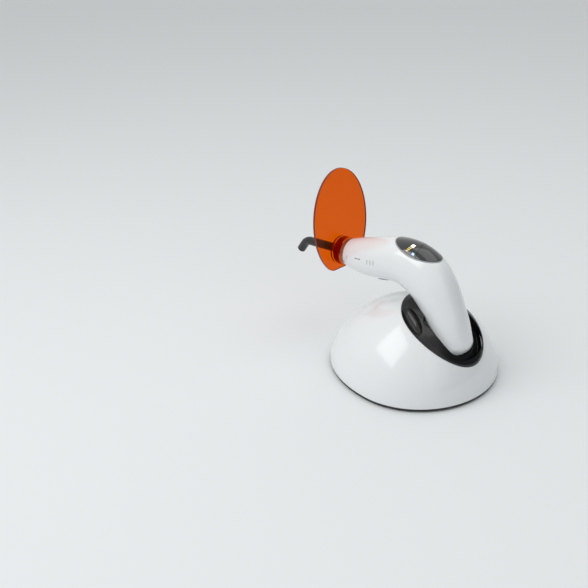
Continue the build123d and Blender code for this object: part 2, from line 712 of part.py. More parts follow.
# ---------------------------------------------------------------------------------------------
# Handpiece shells
# ---------------------------------------------------------------------------------------------

display_oval = oval_prism(display, DISPLAY_HALF_LENGTH, DISPLAY_HALF_WIDTH, 2 * ELBOW_HALF_HEIGHT)
button_hole = oval_prism(
    button, BUTTON_HALF_LENGTH + KEY_GAP, BUTTON_HALF_WIDTH + KEY_GAP, 2 * ELBOW_HALF_HEIGHT
)
hand_bosses = [
    ELBOW + Vector(FRONT_BOSS[0], 0, FRONT_BOSS[1]),
    ELBOW + Vector(ELBOW_BOSS[0], 0, ELBOW_BOSS[1]),
    BUTT + Vector(-cos(radians(GRIP_DIP)), 0, sin(radians(GRIP_DIP))) * BUTT_BOSS_RISE,
]
hand_boss_places = [(point.X, point.Z) for point in hand_bosses]

boss_limit = handpiece_solid(-HAND_WALL / 2)

# The shells are one moulding cut along the plane of symmetry, with bosses across the cut.
with BuildPart() as whole_shell:
    with BuildSketch(Plane.XZ.offset(-ELBOW_HALF_WIDTH - 1.0)):
        with Locations(*hand_boss_places):
            Circle(HAND_BOSS_RADIUS)
    extrude(amount=2 * ELBOW_HALF_WIDTH + 2.0)
    add(boss_limit, mode=Mode.INTERSECT)
    add(shell_layer)
    add(display_oval, mode=Mode.SUBTRACT)
    add(button_hole, mode=Mode.SUBTRACT)
    with BuildSketch(butt.offset(BLOCK_OVERCUT)):
        Circle(BLOCK_RADIUS)
    extrude(amount=-BLOCK_DEPTH - BLOCK_OVERCUT, mode=Mode.SUBTRACT)

with BuildPart() as right_shell:
    add(whole_shell.part)
    split(bisect_by=Plane.XZ, keep=Keep.TOP)
    with BuildSketch(Plane.XZ):
        with Locations(*hand_boss_places):
            Circle(SMALL_SCREW_RADIUS)
    extrude(amount=HAND_SCREW_GRIP, mode=Mode.SUBTRACT)
right_shell.part.label = "right_shell"
export_step(right_shell.part, "parts/right_shell.step")

with BuildPart() as left_shell:
    add(whole_shell.part)
    split(bisect_by=Plane.XZ, keep=Keep.BOTTOM)
    with BuildSketch(Plane.XZ):
        with Locations(*hand_boss_places):
            Circle(SMALL_SCREW_RADIUS + SCREW_GAP)
    extrude(amount=-ELBOW_HALF_WIDTH - 1.0, mode=Mode.SUBTRACT)
    with BuildSketch(Plane.XZ.offset(-HAND_HEAD_SEAT)):
        with Locations(*hand_boss_places):
            Circle(SMALL_HEAD_RADIUS + SCREW_GAP)
    extrude(amount=-ELBOW_HALF_WIDTH, mode=Mode.SUBTRACT)
left_shell.part.label = "left_shell"
export_step(left_shell.part, "parts/left_shell.step")

with BuildPart() as handpiece_screws:
    with BuildSketch(Plane.XZ.offset(-HAND_HEAD_SEAT)):
        with Locations(*hand_boss_places):
            Circle(SMALL_HEAD_RADIUS)
    extrude(amount=-SMALL_HEAD_HEIGHT)
    with BuildSketch(Plane.XZ.offset(-HAND_HEAD_SEAT)):
        with Locations(*hand_boss_places):
            Circle(SMALL_SCREW_RADIUS)
    extrude(amount=HAND_HEAD_SEAT + HAND_SCREW_GRIP)
handpiece_screws.part.label = "handpiece_screws"
export_step(handpiece_screws.part, "parts/handpiece_screws.step")

with BuildPart() as contact_block:
    with BuildSketch(butt.offset(BLOCK_OVERCUT)):
        Circle(BLOCK_RADIUS - COLLAR_FIT)
    extrude(amount=-BLOCK_DEPTH - BLOCK_OVERCUT)
    add(skin, mode=Mode.INTERSECT)
    with BuildSketch(butt):
        with Locations(*pad_places):
            Circle(PAD_RADIUS)
    extrude(amount=-PAD_THICKNESS, mode=Mode.SUBTRACT)
contact_block.part.label = "contact_block"
export_step(contact_block.part, "parts/contact_block.step")

with BuildPart() as charge_pads:
    with BuildSketch(butt):
        with Locations(*pad_places):
            Circle(PAD_RADIUS)
    extrude(amount=-PAD_THICKNESS)
    add(skin, mode=Mode.INTERSECT)
charge_pads.part.label = "charge_pads"
export_step(charge_pads.part, "parts/charge_pads.step")

# ---------------------------------------------------------------------------------------------
# Display and mode key
# ---------------------------------------------------------------------------------------------

inner_length = DISPLAY_HALF_LENGTH - BEZEL_WIDTH
inner_width = DISPLAY_HALF_WIDTH - BEZEL_WIDTH
tall = 2 * ELBOW_HALF_HEIGHT
split_side = Plane(
    origin=display.from_local_coords((KEY_SPLIT, 0, 0)),
    x_dir=display.z_dir,
    z_dir=display.x_dir * cos(radians(KEY_SKEW)) + display.y_dir * sin(radians(KEY_SKEW)),
)

key_side = split_side.offset(KEY_GAP)
window_oval = oval_prism(display, inner_length, inner_width, tall)
key_oval = oval_prism(display, inner_length - KEY_GAP, inner_width - KEY_GAP, tall)
key_foot_oval = oval_prism(
    display, DISPLAY_HALF_LENGTH - KEY_GAP, DISPLAY_HALF_WIDTH - KEY_GAP, tall
)
bezel_layer = layer(0, BEZEL_DEPTH)
window_layer = layer(0, WINDOW_THICKNESS)
key_layer = layer(0, KEY_DEPTH)
key_foot_layer = layer(BEZEL_DEPTH + KEY_FOOT_GAP, KEY_DEPTH)

with BuildPart() as bezel:
    add(display_oval)
    add(window_oval, mode=Mode.SUBTRACT)
    add(bezel_layer, mode=Mode.INTERSECT)
bezel.part.label = "display_bezel"
export_step(bezel.part, "parts/display_bezel.step")

with BuildPart() as window:
    add(window_oval)
    split(bisect_by=split_side, keep=Keep.BOTTOM)
    add(window_layer, mode=Mode.INTERSECT)
window.part.label = "display_window"
export_step(window.part, "parts/display_window.step")

key_switch_top = DISPLAY_BOARD_RISE + BOARD_THICKNESS + KEY_SWITCH_HEIGHT

# The key is a thick cap with a foot that catches under the bezel.
with BuildPart() as key_foot:
    add(key_foot_oval)
    split(bisect_by=key_side, keep=Keep.TOP)
    add(key_foot_layer, mode=Mode.INTERSECT)

with BuildPart() as mode_key:
    add(key_oval)
    split(bisect_by=key_side, keep=Keep.TOP)
    add(key_layer, mode=Mode.INTERSECT)
    add(key_foot.part)
    with BuildSketch(display.offset(key_switch_top + KEY_TRAVEL + KEY_FOOT_GAP)):
        with Locations((KEY_SWITCH_BACK, 0)):
            Circle(KEY_STEM_RADIUS)
    extrude(amount=KEY_STEM_LENGTH)
mode_key.part.label = "mode_key"
export_step(mode_key.part, "parts/mode_key.step")

with BuildPart() as display_board:
    with BuildSketch(display.offset(DISPLAY_BOARD_RISE)):
        with Locations((DISPLAY_BOARD_BACK, 0)):
            Rectangle(DISPLAY_BOARD_LENGTH, DISPLAY_BOARD_WIDTH)
    extrude(amount=BOARD_THICKNESS)
display_board.part.label = "display_board"
export_step(display_board.part, "parts/display_board.step")

with BuildPart() as display_module:
    with BuildSketch(display.offset(DISPLAY_BOARD_RISE + BOARD_THICKNESS)):
        with Locations((MODULE_BACK, 0)):
            Rectangle(MODULE_LENGTH, MODULE_WIDTH)
    extrude(amount=MODULE_HEIGHT)
    fillet(display_module.edges().filter_by(Axis.Z, tolerance=5), MODULE_ROUND)
display_module.part.label = "display_module"
export_step(display_module.part, "parts/display_module.step")

with BuildPart() as key_switch:
    with BuildSketch(display.offset(DISPLAY_BOARD_RISE + BOARD_THICKNESS)):
        with Locations((KEY_SWITCH_BACK, 0)):
            Rectangle(KEY_SWITCH_SIZE, KEY_SWITCH_SIZE)
    extrude(amount=KEY_SWITCH_HEIGHT)
key_switch.part.label = "key_switch"
export_step(key_switch.part, "parts/key_switch.step")

# ---------------------------------------------------------------------------------------------
# Power button on the underside of the barrel, and the main board behind it
# ---------------------------------------------------------------------------------------------

button_skin = handpiece_solid(BUTTON_PROUD)

with BuildPart() as power_button:
    with BuildSketch(button.offset(BUTTON_INSIDE)):
        Ellipse(BUTTON_HALF_LENGTH, BUTTON_HALF_WIDTH)
    extrude(amount=ELBOW_HALF_HEIGHT)
    add(button_skin, mode=Mode.INTERSECT)
    with BuildSketch(button.offset(BUTTON_INSIDE - BUTTON_RIM)):
        Ellipse(BUTTON_HALF_LENGTH + BUTTON_RIM, BUTTON_HALF_WIDTH + BUTTON_RIM)
    extrude(amount=BUTTON_RIM)
    with BuildSketch(button.offset(SWITCH_TOP + BUTTON_TRAVEL + KEY_FOOT_GAP)):
        Circle(BUTTON_STEM_RADIUS)
    extrude(amount=BUTTON_INSIDE - SWITCH_TOP - BUTTON_TRAVEL)
power_button.part.label = "power_button"
export_step(power_button.part, "parts/power_button.step")

with BuildPart() as main_board:
    with BuildSketch(button.offset(BOARD_DROP - BOARD_THICKNESS)):
        with Locations((BOARD_SHIFT, 0)):
            RectangleRounded(BOARD_LENGTH, BOARD_WIDTH, BOARD_CORNER)
    extrude(amount=BOARD_THICKNESS)
main_board.part.label = "main_board"
export_step(main_board.part, "parts/main_board.step")

with BuildPart() as power_switch:
    with BuildSketch(button.offset(BOARD_DROP)):
        Rectangle(SWITCH_SIZE, SWITCH_SIZE)
    extrude(amount=SWITCH_TOP - BOARD_DROP - SWITCH_NIB)
    with BuildSketch(button.offset(SWITCH_TOP - SWITCH_NIB)):
        Circle(BUTTON_STEM_RADIUS)
    extrude(amount=SWITCH_NIB)
power_switch.part.label = "power_switch"
export_step(power_switch.part, "parts/power_switch.step")

button_coil = coil(
    button.offset(BOARD_DROP), SPRING_RADIUS, BUTTON_INSIDE - BUTTON_RIM - BOARD_DROP, 4
)
with BuildPart() as button_spring:
    add(button_coil)
button_spring.part.label = "button_spring"
export_step(button_spring.part, "parts/button_spring.step")

with BuildPart() as buzzer:
    with BuildSketch(button.offset(BOARD_DROP - BOARD_THICKNESS)):
        with Locations((BOARD_SHIFT + BOARD_LENGTH / 4, 0)):
            Circle(BUZZER_RADIUS)
    extrude(amount=-BUZZER_HEIGHT)
    with BuildSketch(button.offset(BOARD_DROP - BOARD_THICKNESS - BUZZER_HEIGHT)):
        with Locations((BOARD_SHIFT + BOARD_LENGTH / 4, 0)):
            Circle(BUZZER_RADIUS / 4)
    extrude(amount=BUZZER_HOLE_DEPTH, mode=Mode.SUBTRACT)
buzzer.part.label = "buzzer"
export_step(buzzer.part, "parts/buzzer.step")

# ---------------------------------------------------------------------------------------------
# Rechargeable cell in the grip
# ---------------------------------------------------------------------------------------------

cell_end = butt.offset(-CELL_START)
with BuildPart() as cell:
    with BuildSketch(cell_end):
        Circle(CELL_RADIUS)
    extrude(amount=-CELL_LENGTH)
    fillet(cell.edges().filter_by(GeomType.CIRCLE), CELL_ROUND)
    with BuildSketch(cell_end.offset(-CELL_LENGTH)):
        Circle(CELL_RADIUS / 3)
    extrude(amount=-CELL_TIP_HEIGHT)
cell.part.label = "battery_cell"
export_step(cell.part, "parts/battery_cell.step")

with BuildPart() as cell_cap:
    with BuildSketch(cell_end.offset(-CELL_LENGTH - CELL_TIP_HEIGHT)):
        Circle(CELL_RADIUS / 2)
    extrude(amount=-CELL_CAP_THICKNESS)
cell_cap.part.label = "battery_top_contact"
export_step(cell_cap.part, "parts/battery_top_contact.step")

cell_coil = coil(cell_end, CELL_RADIUS / 2, CELL_SPRING_HEIGHT, 3)
with BuildPart() as cell_spring:
    add(cell_coil)
cell_spring.part.label = "battery_spring"
export_step(cell_spring.part, "parts/battery_spring.step")

# ---------------------------------------------------------------------------------------------
# Lamp head inside the nose
# ---------------------------------------------------------------------------------------------

plug_end = nose.offset(-COLLAR_PLUG)
with BuildPart() as lamp_board:
    with BuildSketch(plug_end):
        Circle(SINK_RADIUS)
    extrude(amount=-BOARD_THICKNESS)
lamp_board.part.label = "led_board"
export_step(lamp_board.part, "parts/led_board.step")

with BuildPart() as emitter:
    with BuildSketch(plug_end):
        Rectangle(EMITTER_SIDE, EMITTER_SIDE)
    extrude(amount=EMITTER_BASE)
    with BuildSketch(plug_end.offset(EMITTER_BASE)):
        Circle(EMITTER_DOME_RADIUS)
    extrude(amount=EMITTER_DOME_HEIGHT, taper=20)
emitter.part.label = "led_emitter"
export_step(emitter.part, "parts/led_emitter.step")

with BuildPart() as lens:
    with BuildSketch(plug_end.offset(LENS_LIFT)):
        Circle(LENS_RADIUS)
    extrude(amount=COLLAR_PLUG / 2)
    fillet(lens.edges().group_by(Axis.X)[0], LENS_ROUND)
lens.part.label = "collimator_lens"
export_step(lens.part, "parts/collimator_lens.step")

sink_top = plug_end.offset(-BOARD_THICKNESS)
fin_pitch = SINK_LENGTH / SINK_FINS
with BuildPart() as heat_sink:
    with BuildSketch(sink_top):
        Circle(SINK_RADIUS)
    extrude(amount=-SINK_LENGTH)
    for fin in range(1, SINK_FINS):
        with BuildSketch(sink_top.offset(-fin * fin_pitch)):
            Circle(SINK_RADIUS)
            Circle(SINK_RADIUS / 2, mode=Mode.SUBTRACT)
        extrude(amount=-FIN_GAP, mode=Mode.SUBTRACT)
heat_sink.part.label = "heat_sink"
export_step(heat_sink.part, "parts/heat_sink.step")

# ---------------------------------------------------------------------------------------------
# Nose collar, shield and light guide
# ---------------------------------------------------------------------------------------------

collet_radius = FERRULE_RADIUS + RUNNING_FIT + COLLET_WALL
collar_bore = collet_radius + RUNNING_FIT
spigot_end = COLLAR_LENGTH + SPIGOT_LENGTH

with BuildPart() as collar:
    with BuildSketch(plug_end):
        Circle(NOSE_RADIUS - HAND_WALL - COLLAR_FIT)
    extrude(amount=COLLAR_PLUG)
    with BuildSketch(nose):
        Circle(COLLAR_RADIUS)
    extrude(amount=COLLAR_LENGTH)
    fillet(collar.edges().sort_by(Axis.X)[0], EDGE_BREAK)
    with BuildSketch(nose.offset(COLLAR_LENGTH)):
        Circle(SPIGOT_RADIUS)
    extrude(amount=SPIGOT_LENGTH)
    with BuildSketch(nose):
        Circle(collar_bore)
    extrude(amount=spigot_end, mode=Mode.SUBTRACT)
    with BuildSketch(plug_end):
        Circle(LENS_RADIUS)
    extrude(amount=COLLAR_PLUG, mode=Mode.SUBTRACT)
collar.part.label = "nose_collar"
export_step(collar.part, "parts/nose_collar.step")

hub_start = COLLAR_LENGTH + END_GAP
hub_length = SPIGOT_LENGTH - 2 * END_GAP
hub_radius = SPIGOT_RADIUS + RUNNING_FIT + HUB_RING_WALL
shield_bore = hub_radius + RUNNING_FIT

with BuildPart() as hub_ring:
    with BuildSketch(nose.offset(hub_start)):
        Circle(hub_radius)
        Circle(SPIGOT_RADIUS + RUNNING_FIT, mode=Mode.SUBTRACT)
    extrude(amount=hub_length)
hub_ring.part.label = "shield_ring"
export_step(hub_ring.part, "parts/shield_ring.step")

# The shield's sketches have x across and y up, and its plate stands in front of the hub's start.
hub_plane = Plane(origin=nose.offset(hub_start).origin, x_dir=(0, -1, 0), z_dir=nose.z_dir)
shield_plane = hub_plane.offset(SHIELD_FORWARD)
with BuildPart() as shield:
    with BuildSketch(shield_plane) as shield_outline:
        with Locations((0, SHIELD_RISE)):
            Ellipse(SHIELD_HALF_WIDTH, SHIELD_HALF_HEIGHT)
        with Locations((0, -SHIELD_DROP)):
            Rectangle(
                4 * SHIELD_HALF_WIDTH,
                2 * SHIELD_HALF_HEIGHT,
                align=(Align.CENTER, Align.MAX),
                mode=Mode.SUBTRACT,
            )
        fillet(shield_outline.vertices().group_by(Axis.Y)[0], SHIELD_CORNER)
    extrude(amount=SHIELD_THICKNESS)
    with BuildSketch(hub_plane):
        Circle(shield_bore + HUB_WALL)
    extrude(amount=hub_length)
    with BuildSketch(hub_plane):
        Circle(shield_bore)
    extrude(amount=hub_length, mode=Mode.SUBTRACT)
shield.part.label = "shield"
export_step(shield.part, "parts/shield.step")

ferrule_start = END_GAP
head_start = spigot_end + END_GAP
guide_start = head_start + GUIDE_SEAT
guide_dir = nose.z_dir
bend_dip = BARREL_DROOP + GUIDE_BEND
tip_dir = Vector(-cos(radians(bend_dip)), 0, -sin(radians(bend_dip)))
bend_leg = GUIDE_BEND_RADIUS * tan(radians(GUIDE_BEND / 2))
bend_corner = NOSE + guide_dir * (head_start + FERRULE_HEAD_LENGTH + GUIDE_STRAIGHT + bend_leg)
guide_end = bend_corner + tip_dir * (bend_leg + GUIDE_TIP)

with BuildPart() as ferrule:
    with BuildSketch(nose.offset(ferrule_start)):
        Circle(FERRULE_RADIUS)
    extrude(amount=head_start - ferrule_start)
    with BuildSketch(nose.offset(head_start)):
        Circle(FERRULE_HEAD_RADIUS)
    extrude(amount=FERRULE_HEAD_LENGTH)
    chamfer(ferrule.edges().sort_by(Axis.X)[0], EDGE_BREAK)
    with BuildSketch(nose.offset(ferrule_start)):
        Circle(GUIDE_CORE_RADIUS)
    extrude(amount=guide_start - ferrule_start, mode=Mode.SUBTRACT)
    with BuildSketch(nose.offset(guide_start)):
        Circle(GUIDE_RADIUS)
    extrude(amount=FERRULE_HEAD_LENGTH, mode=Mode.SUBTRACT)
ferrule.part.label = "guide_ferrule"
export_step(ferrule.part, "parts/guide_ferrule.step")

with BuildPart() as collet:
    with BuildSketch(nose.offset(ferrule_start)):
        Circle(collet_radius)
        Circle(FERRULE_RADIUS + RUNNING_FIT, mode=Mode.SUBTRACT)
    extrude(amount=spigot_end - ferrule_start - END_GAP)
collet.part.label = "guide_collet"
export_step(collet.part, "parts/guide_collet.step")

with BuildPart() as sheath:
    with BuildLine():
        FilletPolyline(
            NOSE + guide_dir * guide_start, bend_corner, guide_end, radius=GUIDE_BEND_RADIUS
        )
    with BuildSketch(nose.offset(guide_start)):
        Circle(GUIDE_RADIUS)
        Circle(GUIDE_CORE_RADIUS, mode=Mode.SUBTRACT)
    sweep()
sheath.part.label = "guide_sheath"
export_step(sheath.part, "parts/guide_sheath.step")

with BuildPart() as guide_core:
    with BuildLine():
        FilletPolyline(
            NOSE + guide_dir * ferrule_start, bend_corner, guide_end, radius=GUIDE_BEND_RADIUS
        )
    with BuildSketch(nose.offset(ferrule_start)):
        Circle(GUIDE_CORE_RADIUS)
    sweep()
guide_core.part.label = "guide_core"
export_step(guide_core.part, "parts/guide_core.step")
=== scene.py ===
"""Looks of a cordless dental curing light that stands in its charging base.

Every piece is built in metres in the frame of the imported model. The handpiece points along -X,
its grip leans back towards +X, and the base stands on z = 0.
"""

import logging
import math
from dataclasses import dataclass, field
from enum import Enum
from typing import Callable, Iterable

import bmesh
import bpy
import numpy as np
from mathutils import Matrix, Vector


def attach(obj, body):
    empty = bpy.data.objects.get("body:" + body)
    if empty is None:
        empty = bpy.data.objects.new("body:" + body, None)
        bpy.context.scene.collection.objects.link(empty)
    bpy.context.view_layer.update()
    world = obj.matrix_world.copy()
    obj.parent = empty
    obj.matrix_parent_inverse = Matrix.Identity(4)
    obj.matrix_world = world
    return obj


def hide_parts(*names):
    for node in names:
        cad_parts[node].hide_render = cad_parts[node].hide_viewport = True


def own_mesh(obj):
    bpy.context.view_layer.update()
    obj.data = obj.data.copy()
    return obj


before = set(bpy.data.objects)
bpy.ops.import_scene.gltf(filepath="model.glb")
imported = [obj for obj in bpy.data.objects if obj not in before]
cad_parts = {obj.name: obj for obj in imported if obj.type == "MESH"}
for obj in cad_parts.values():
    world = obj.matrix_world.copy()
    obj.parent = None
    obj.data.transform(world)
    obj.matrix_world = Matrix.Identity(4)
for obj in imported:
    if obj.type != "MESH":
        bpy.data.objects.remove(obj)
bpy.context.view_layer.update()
LOG = logging.getLogger("curing_light")
MM = 0.001


# ----------------------------------------------------------------------------- shader nodes


class Wave(Enum):
    """How a finish's fine relief runs over a piece."""

    GRAIN = "grain"
    TURNED = "turned"
    BRUSHED = "brushed"


class Value:
    """A number socket that can be written in sums."""

    def __init__(self, book: "NodeBook", socket: bpy.types.NodeSocket) -> None:
        """Keep the socket and the node tree that it belongs to."""
        self.book = book
        self.socket = socket

    def _math(self, operation: str, *values: object) -> "Value":
        """Add one Math node on the given values."""
        inputs = dict(enumerate(values))
        return Value(self.book, self.book.add("ShaderNodeMath", {"operation": operation}, inputs))

    def __add__(self, other: object) -> "Value":
        """Sum."""
        return self._math("ADD", self, other)

    __radd__ = __add__

    def __sub__(self, other: object) -> "Value":
        """Difference."""
        return self._math("SUBTRACT", self, other)

    def __rsub__(self, other: object) -> "Value":
        """Difference from a number."""
        return self._math("SUBTRACT", other, self)

    def __mul__(self, other: object) -> "Value":
        """Product."""
        return self._math("MULTIPLY", self, other)

    __rmul__ = __mul__

    def __truediv__(self, other: object) -> "Value":
        """Quotient."""
        return self._math("DIVIDE", self, other)

    def over(self, edge: float, width: float) -> "Value":
        """Soft step from 0 to 1 as the value passes edge.

        Args:
            edge: value at the middle of the step.
            width: distance over which it rises.

        Returns:
            The mask as a new value.
        """
        settings = {"interpolation_type": "SMOOTHSTEP"}
        inputs = {"Value": self, "From Min": edge - width / 2, "From Max": edge + width / 2}
        return Value(self.book, self.book.add("ShaderNodeMapRange", settings, inputs))


class NodeBook:
    """The node tree of a material or of the world, filled in a few words."""

    def __init__(self, owner: bpy.types.ID, output: str, coordinates: str) -> None:
        """Start an empty tree.

        Args:
            owner: the new material or world.
            output: type of its output node.
            coordinates: which texture coordinates its patterns read.
        """
        owner.use_nodes = True
        self.owner = owner
        self.tree = owner.node_tree
        self.tree.nodes.clear()
        self.output = self.tree.nodes.new(output)
        self.coordinates = self.add("ShaderNodeTexCoord", {}, {}, coordinates)

    def add(
        self,
        kind: str,
        settings: dict[str, object],
        inputs: dict[object, object],
        result: object = 0,
    ) -> bpy.types.NodeSocket:
        """Add any node.

        Args:
            kind: the node's type.
            settings: properties set first; a ramp's stops are under "stops".
            inputs: socket name or number to a value, a Value or a socket.
            result: which output to return.

        Returns:
            The chosen output socket.
        """
        node = self.tree.nodes.new(kind)
        for key, value in settings.items():
            if key == "stops":
                for number, (place, colour) in enumerate(value):
                    stops = node.color_ramp.elements
                    stop = stops[number] if number < len(stops) else stops.new(place)
                    stop.position = place
                    stop.color = (*colour, 1.0)
            else:
                setattr(node, key, value)
        for key, value in inputs.items():
            socket = value.socket if isinstance(value, Value) else value
            if isinstance(socket, bpy.types.NodeSocket):
                self.tree.links.new(socket, node.inputs[key])
            else:
                node.inputs[key].default_value = socket
        return node.outputs[result]

    def noise(self, scale: float, detail: float = 3.0, stretch: tuple = (1.0, 1.0, 1.0)) -> Value:
        """Noise on the piece's own coordinates, in cells per metre."""
        place = self.add("ShaderNodeMapping", {}, {"Vector": self.coordinates, "Scale": stretch})
        inputs = {"Vector": place, "Scale": scale, "Detail": detail}
        return Value(self, self.add("ShaderNodeTexNoise", {}, inputs, "Fac"))

    def mix(self, mask: Value, first: tuple, second: tuple) -> bpy.types.NodeSocket:
        """Blend two colours by a mask."""
        inputs = {0: mask, 6: (*first, 1.0), 7: (*second, 1.0)}
        return self.add("ShaderNodeMix", {"data_type": "RGBA"}, inputs, 2)

    def bump(self, height: Value, strength: float, distance: float) -> bpy.types.NodeSocket:
        """Turn a height into a normal."""
        inputs = {"Height": height, "Strength": strength, "Distance": distance}
        return self.add("ShaderNodeBump", {}, inputs)

    def finish(self, shader_inputs: dict[str, object]) -> bpy.types.Material:
        """Close the material with one Principled shader."""
        shader = self.add("ShaderNodeBsdfPrincipled", {}, shader_inputs)
        self.tree.links.new(shader, self.output.inputs["Surface"])
        return self.owner


def surface_book(name: str) -> NodeBook:
    """Empty node tree of a new material that reads Object coordinates."""
    return NodeBook(bpy.data.materials.new(name), "ShaderNodeOutputMaterial", "Object")


# ----------------------------------------------------------------------------- finishes


@dataclass(frozen=True)
class Plastic:
    """A moulded plastic or rubber, with fine grain and faint handling marks."""

    name: str
    colour: tuple[float, float, float]
    roughness: float
    spread: float = 0.06
    shade: float = 0.94
    grain: float = 2600.0
    relief: float = 0.04
    coat: float = 0.0
    specular: float = 0.5

    def make(self) -> bpy.types.Material:
        """Build the node material."""
        book = surface_book(self.name)
        cloud = book.noise(38.0, 4.0)
        smudge = book.noise(120.0, 5.0, (1.0, 1.6, 0.7)).over(0.56, 0.24)
        darker = tuple(channel * self.shade for channel in self.colour)
        inputs = {
            "Base Color": book.mix(cloud, self.colour, darker),
            "Roughness": self.roughness + smudge * self.spread + cloud * (self.spread * 0.4),
            "Coat Weight": self.coat,
            "Coat Roughness": 0.06,
            "Specular IOR Level": self.specular,
            "Normal": book.bump(book.noise(self.grain, 2.0), self.relief, 0.00004),
        }
        return book.finish(inputs)


@dataclass(frozen=True)
class Metal:
    """A machined, brushed or drawn metal."""

    name: str
    colour: tuple[float, float, float]
    roughness: float
    wave: Wave = Wave.GRAIN
    pitch: float = 5200.0
    relief: float = 0.12

    def make(self) -> bpy.types.Material:
        """Build the node material."""
        book = surface_book(self.name)
        stretch = {
            Wave.GRAIN: (1.0, 1.0, 1.0),
            Wave.TURNED: (1.0, 0.02, 0.02),
            Wave.BRUSHED: (0.05, 1.0, 1.0),
        }[self.wave]
        lines = book.noise(self.pitch, 2.0, stretch)
        cloud = book.noise(90.0, 4.0)
        darker = tuple(channel * 0.82 for channel in self.colour)
        inputs = {
            "Base Color": book.mix(cloud, self.colour, darker),
            "Metallic": 1.0,
            "Roughness": self.roughness + lines * 0.12 + cloud * 0.06,
            "Normal": book.bump(lines, self.relief, 0.00005),
        }
        return book.finish(inputs)


@dataclass(frozen=True)
class Clear:
    """A see-through plastic or glass."""

    name: str
    colour: tuple[float, float, float]
    haze: tuple[float, float, float]
    roughness: float = 0.03
    ior: float = 1.49
    weight: float = 1.0

    def make(self) -> bpy.types.Material:
        """Build the node material."""
        book = surface_book(self.name)
        cloud = book.noise(22.0, 3.0)
        scuff = book.noise(900.0, 3.0, (1.0, 0.3, 1.0)).over(0.66, 0.1)
        inputs = {
            "Base Color": book.mix(cloud, self.colour, self.haze),
            "Roughness": self.roughness + scuff * 0.05,
            "Transmission Weight": self.weight,
            "IOR": self.ior,
            "Normal": book.bump(book.noise(60.0, 2.0), 0.02, 0.0002),
        }
        return book.finish(inputs)


@dataclass(frozen=True)
class CircuitBoard:
    """Green solder mask with copper tracks under it."""

    name: str
    mask: tuple[float, float, float] = (0.012, 0.11, 0.045)
    track: tuple[float, float, float] = (0.03, 0.20, 0.08)

    def make(self) -> bpy.types.Material:
        """Build the node material."""
        book = surface_book(self.name)
        settings = {"distance": "CHEBYCHEV", "feature": "F1"}
        inputs = {"Vector": book.coordinates, "Scale": 620.0, "Randomness": 0.25}
        cells = Value(book, book.add("ShaderNodeTexVoronoi", settings, inputs, "Distance"))
        tracks = cells.over(0.42, 0.05)
        shader = {
            "Base Color": book.mix(tracks, self.mask, self.track),
            "Roughness": 0.42 - tracks * 0.1,
            "Normal": book.bump(tracks, 0.3, 0.00004),
        }
        return book.finish(shader)


@dataclass(frozen=True)
class LitMark:
    """A glowing segment behind the display window."""

    name: str
    colour: tuple[float, float, float]
    strength: float

    def make(self) -> bpy.types.Material:
        """Build the node material."""
        book = surface_book(self.name)
        dim = tuple(channel * 0.7 for channel in self.colour)
        glow = book.mix(book.noise(1800.0, 1.0), self.colour, dim)
        inputs = {
            "Base Color": (*dim, 1.0),
            "Emission Color": glow,
            "Emission Strength": self.strength,
            "Roughness": 0.3,
        }
        return book.finish(inputs)


SHELL_WHITE = Plastic("shell_white", (0.80, 0.82, 0.83), 0.16, 0.05, 0.985, coat=0.6)
CRADLE_BLACK = Plastic("cradle_black", (0.010, 0.0095, 0.009), 0.14, 0.06, 0.85, relief=0.012)
PLATE_BLACK = Plastic("plate_black", (0.016, 0.016, 0.017), 0.45, 0.1, 0.85, 1500.0, 0.25)
FOOT_RUBBER = Plastic("foot_rubber", (0.02, 0.02, 0.02), 0.75, 0.1, 0.85, 900.0, 0.4)
BEZEL_GREY = Plastic("bezel_grey", (0.30, 0.32, 0.33), 0.25, 0.05, 0.95)
DISPLAY_BLACK = Plastic("display_black", (0.016, 0.017, 0.018), 0.05, 0.05, 0.8, relief=0.01, coat=1.0)
KEY_BLACK = Plastic("key_black", (0.014, 0.015, 0.016), 0.09, 0.08, 0.8, relief=0.02, coat=0.8)
BUTTON_GREY = Plastic("button_grey", (0.22, 0.25, 0.27), 0.4, 0.08, 0.9, 1800.0, 0.2)
GUIDE_BLACK = Plastic("guide_black", (0.018, 0.018, 0.019), 0.3, 0.14, 0.8, 3000.0, 0.12)
RING_AMBER = Plastic("ring_amber", (0.30, 0.075, 0.012), 0.25, 0.1, 0.8, coat=0.4)
CELL_WRAP = Plastic("cell_wrap", (0.03, 0.10, 0.36), 0.3, 0.08, 0.85)
MODULE_CREAM = Plastic("module_cream", (0.6, 0.6, 0.56), 0.5, 0.08, 0.9)
PRINT_GREY = Plastic("print_grey", (0.20, 0.21, 0.22), 0.5, 0.05, 0.9)
EMITTER_YELLOW = Plastic("emitter_yellow", (0.85, 0.62, 0.08), 0.25, 0.05, 0.9, coat=0.5)
COLLAR_METAL = Metal("collar_metal", (0.40, 0.37, 0.31), 0.3, Wave.TURNED)
FERRULE_STEEL = Metal("ferrule_steel", (0.55, 0.54, 0.52), 0.24, Wave.TURNED)
SCREW_STEEL = Metal("screw_steel", (0.55, 0.56, 0.58), 0.3)
SPRING_STEEL = Metal("spring_steel", (0.62, 0.62, 0.63), 0.25, Wave.BRUSHED)
BALLAST_STEEL = Metal("ballast_steel", (0.30, 0.31, 0.32), 0.45, Wave.BRUSHED)
SINK_ALUMINIUM = Metal("sink_aluminium", (0.78, 0.79, 0.80), 0.32, Wave.TURNED)
CONTACT_GOLD = Metal("contact_gold", (0.95, 0.68, 0.26), 0.2)
SHIELD_ORANGE = Clear("shield_orange", (0.88, 0.115, 0.0), (0.86, 0.13, 0.001), 0.02, 1.2)
# Painted shade: opaque dark red for the shield's cut edge faces, standing in for how light darkens the
# clear plate's edge.
SHIELD_EDGE_SHADE = Plastic("shield_edge_painted_shade", (0.20, 0.012, 0.001), 0.35, 0.1, 0.7)
LENS_GLASS = Clear("lens_glass", (0.93, 0.95, 0.96), (0.90, 0.93, 0.95), 0.02, 1.52)
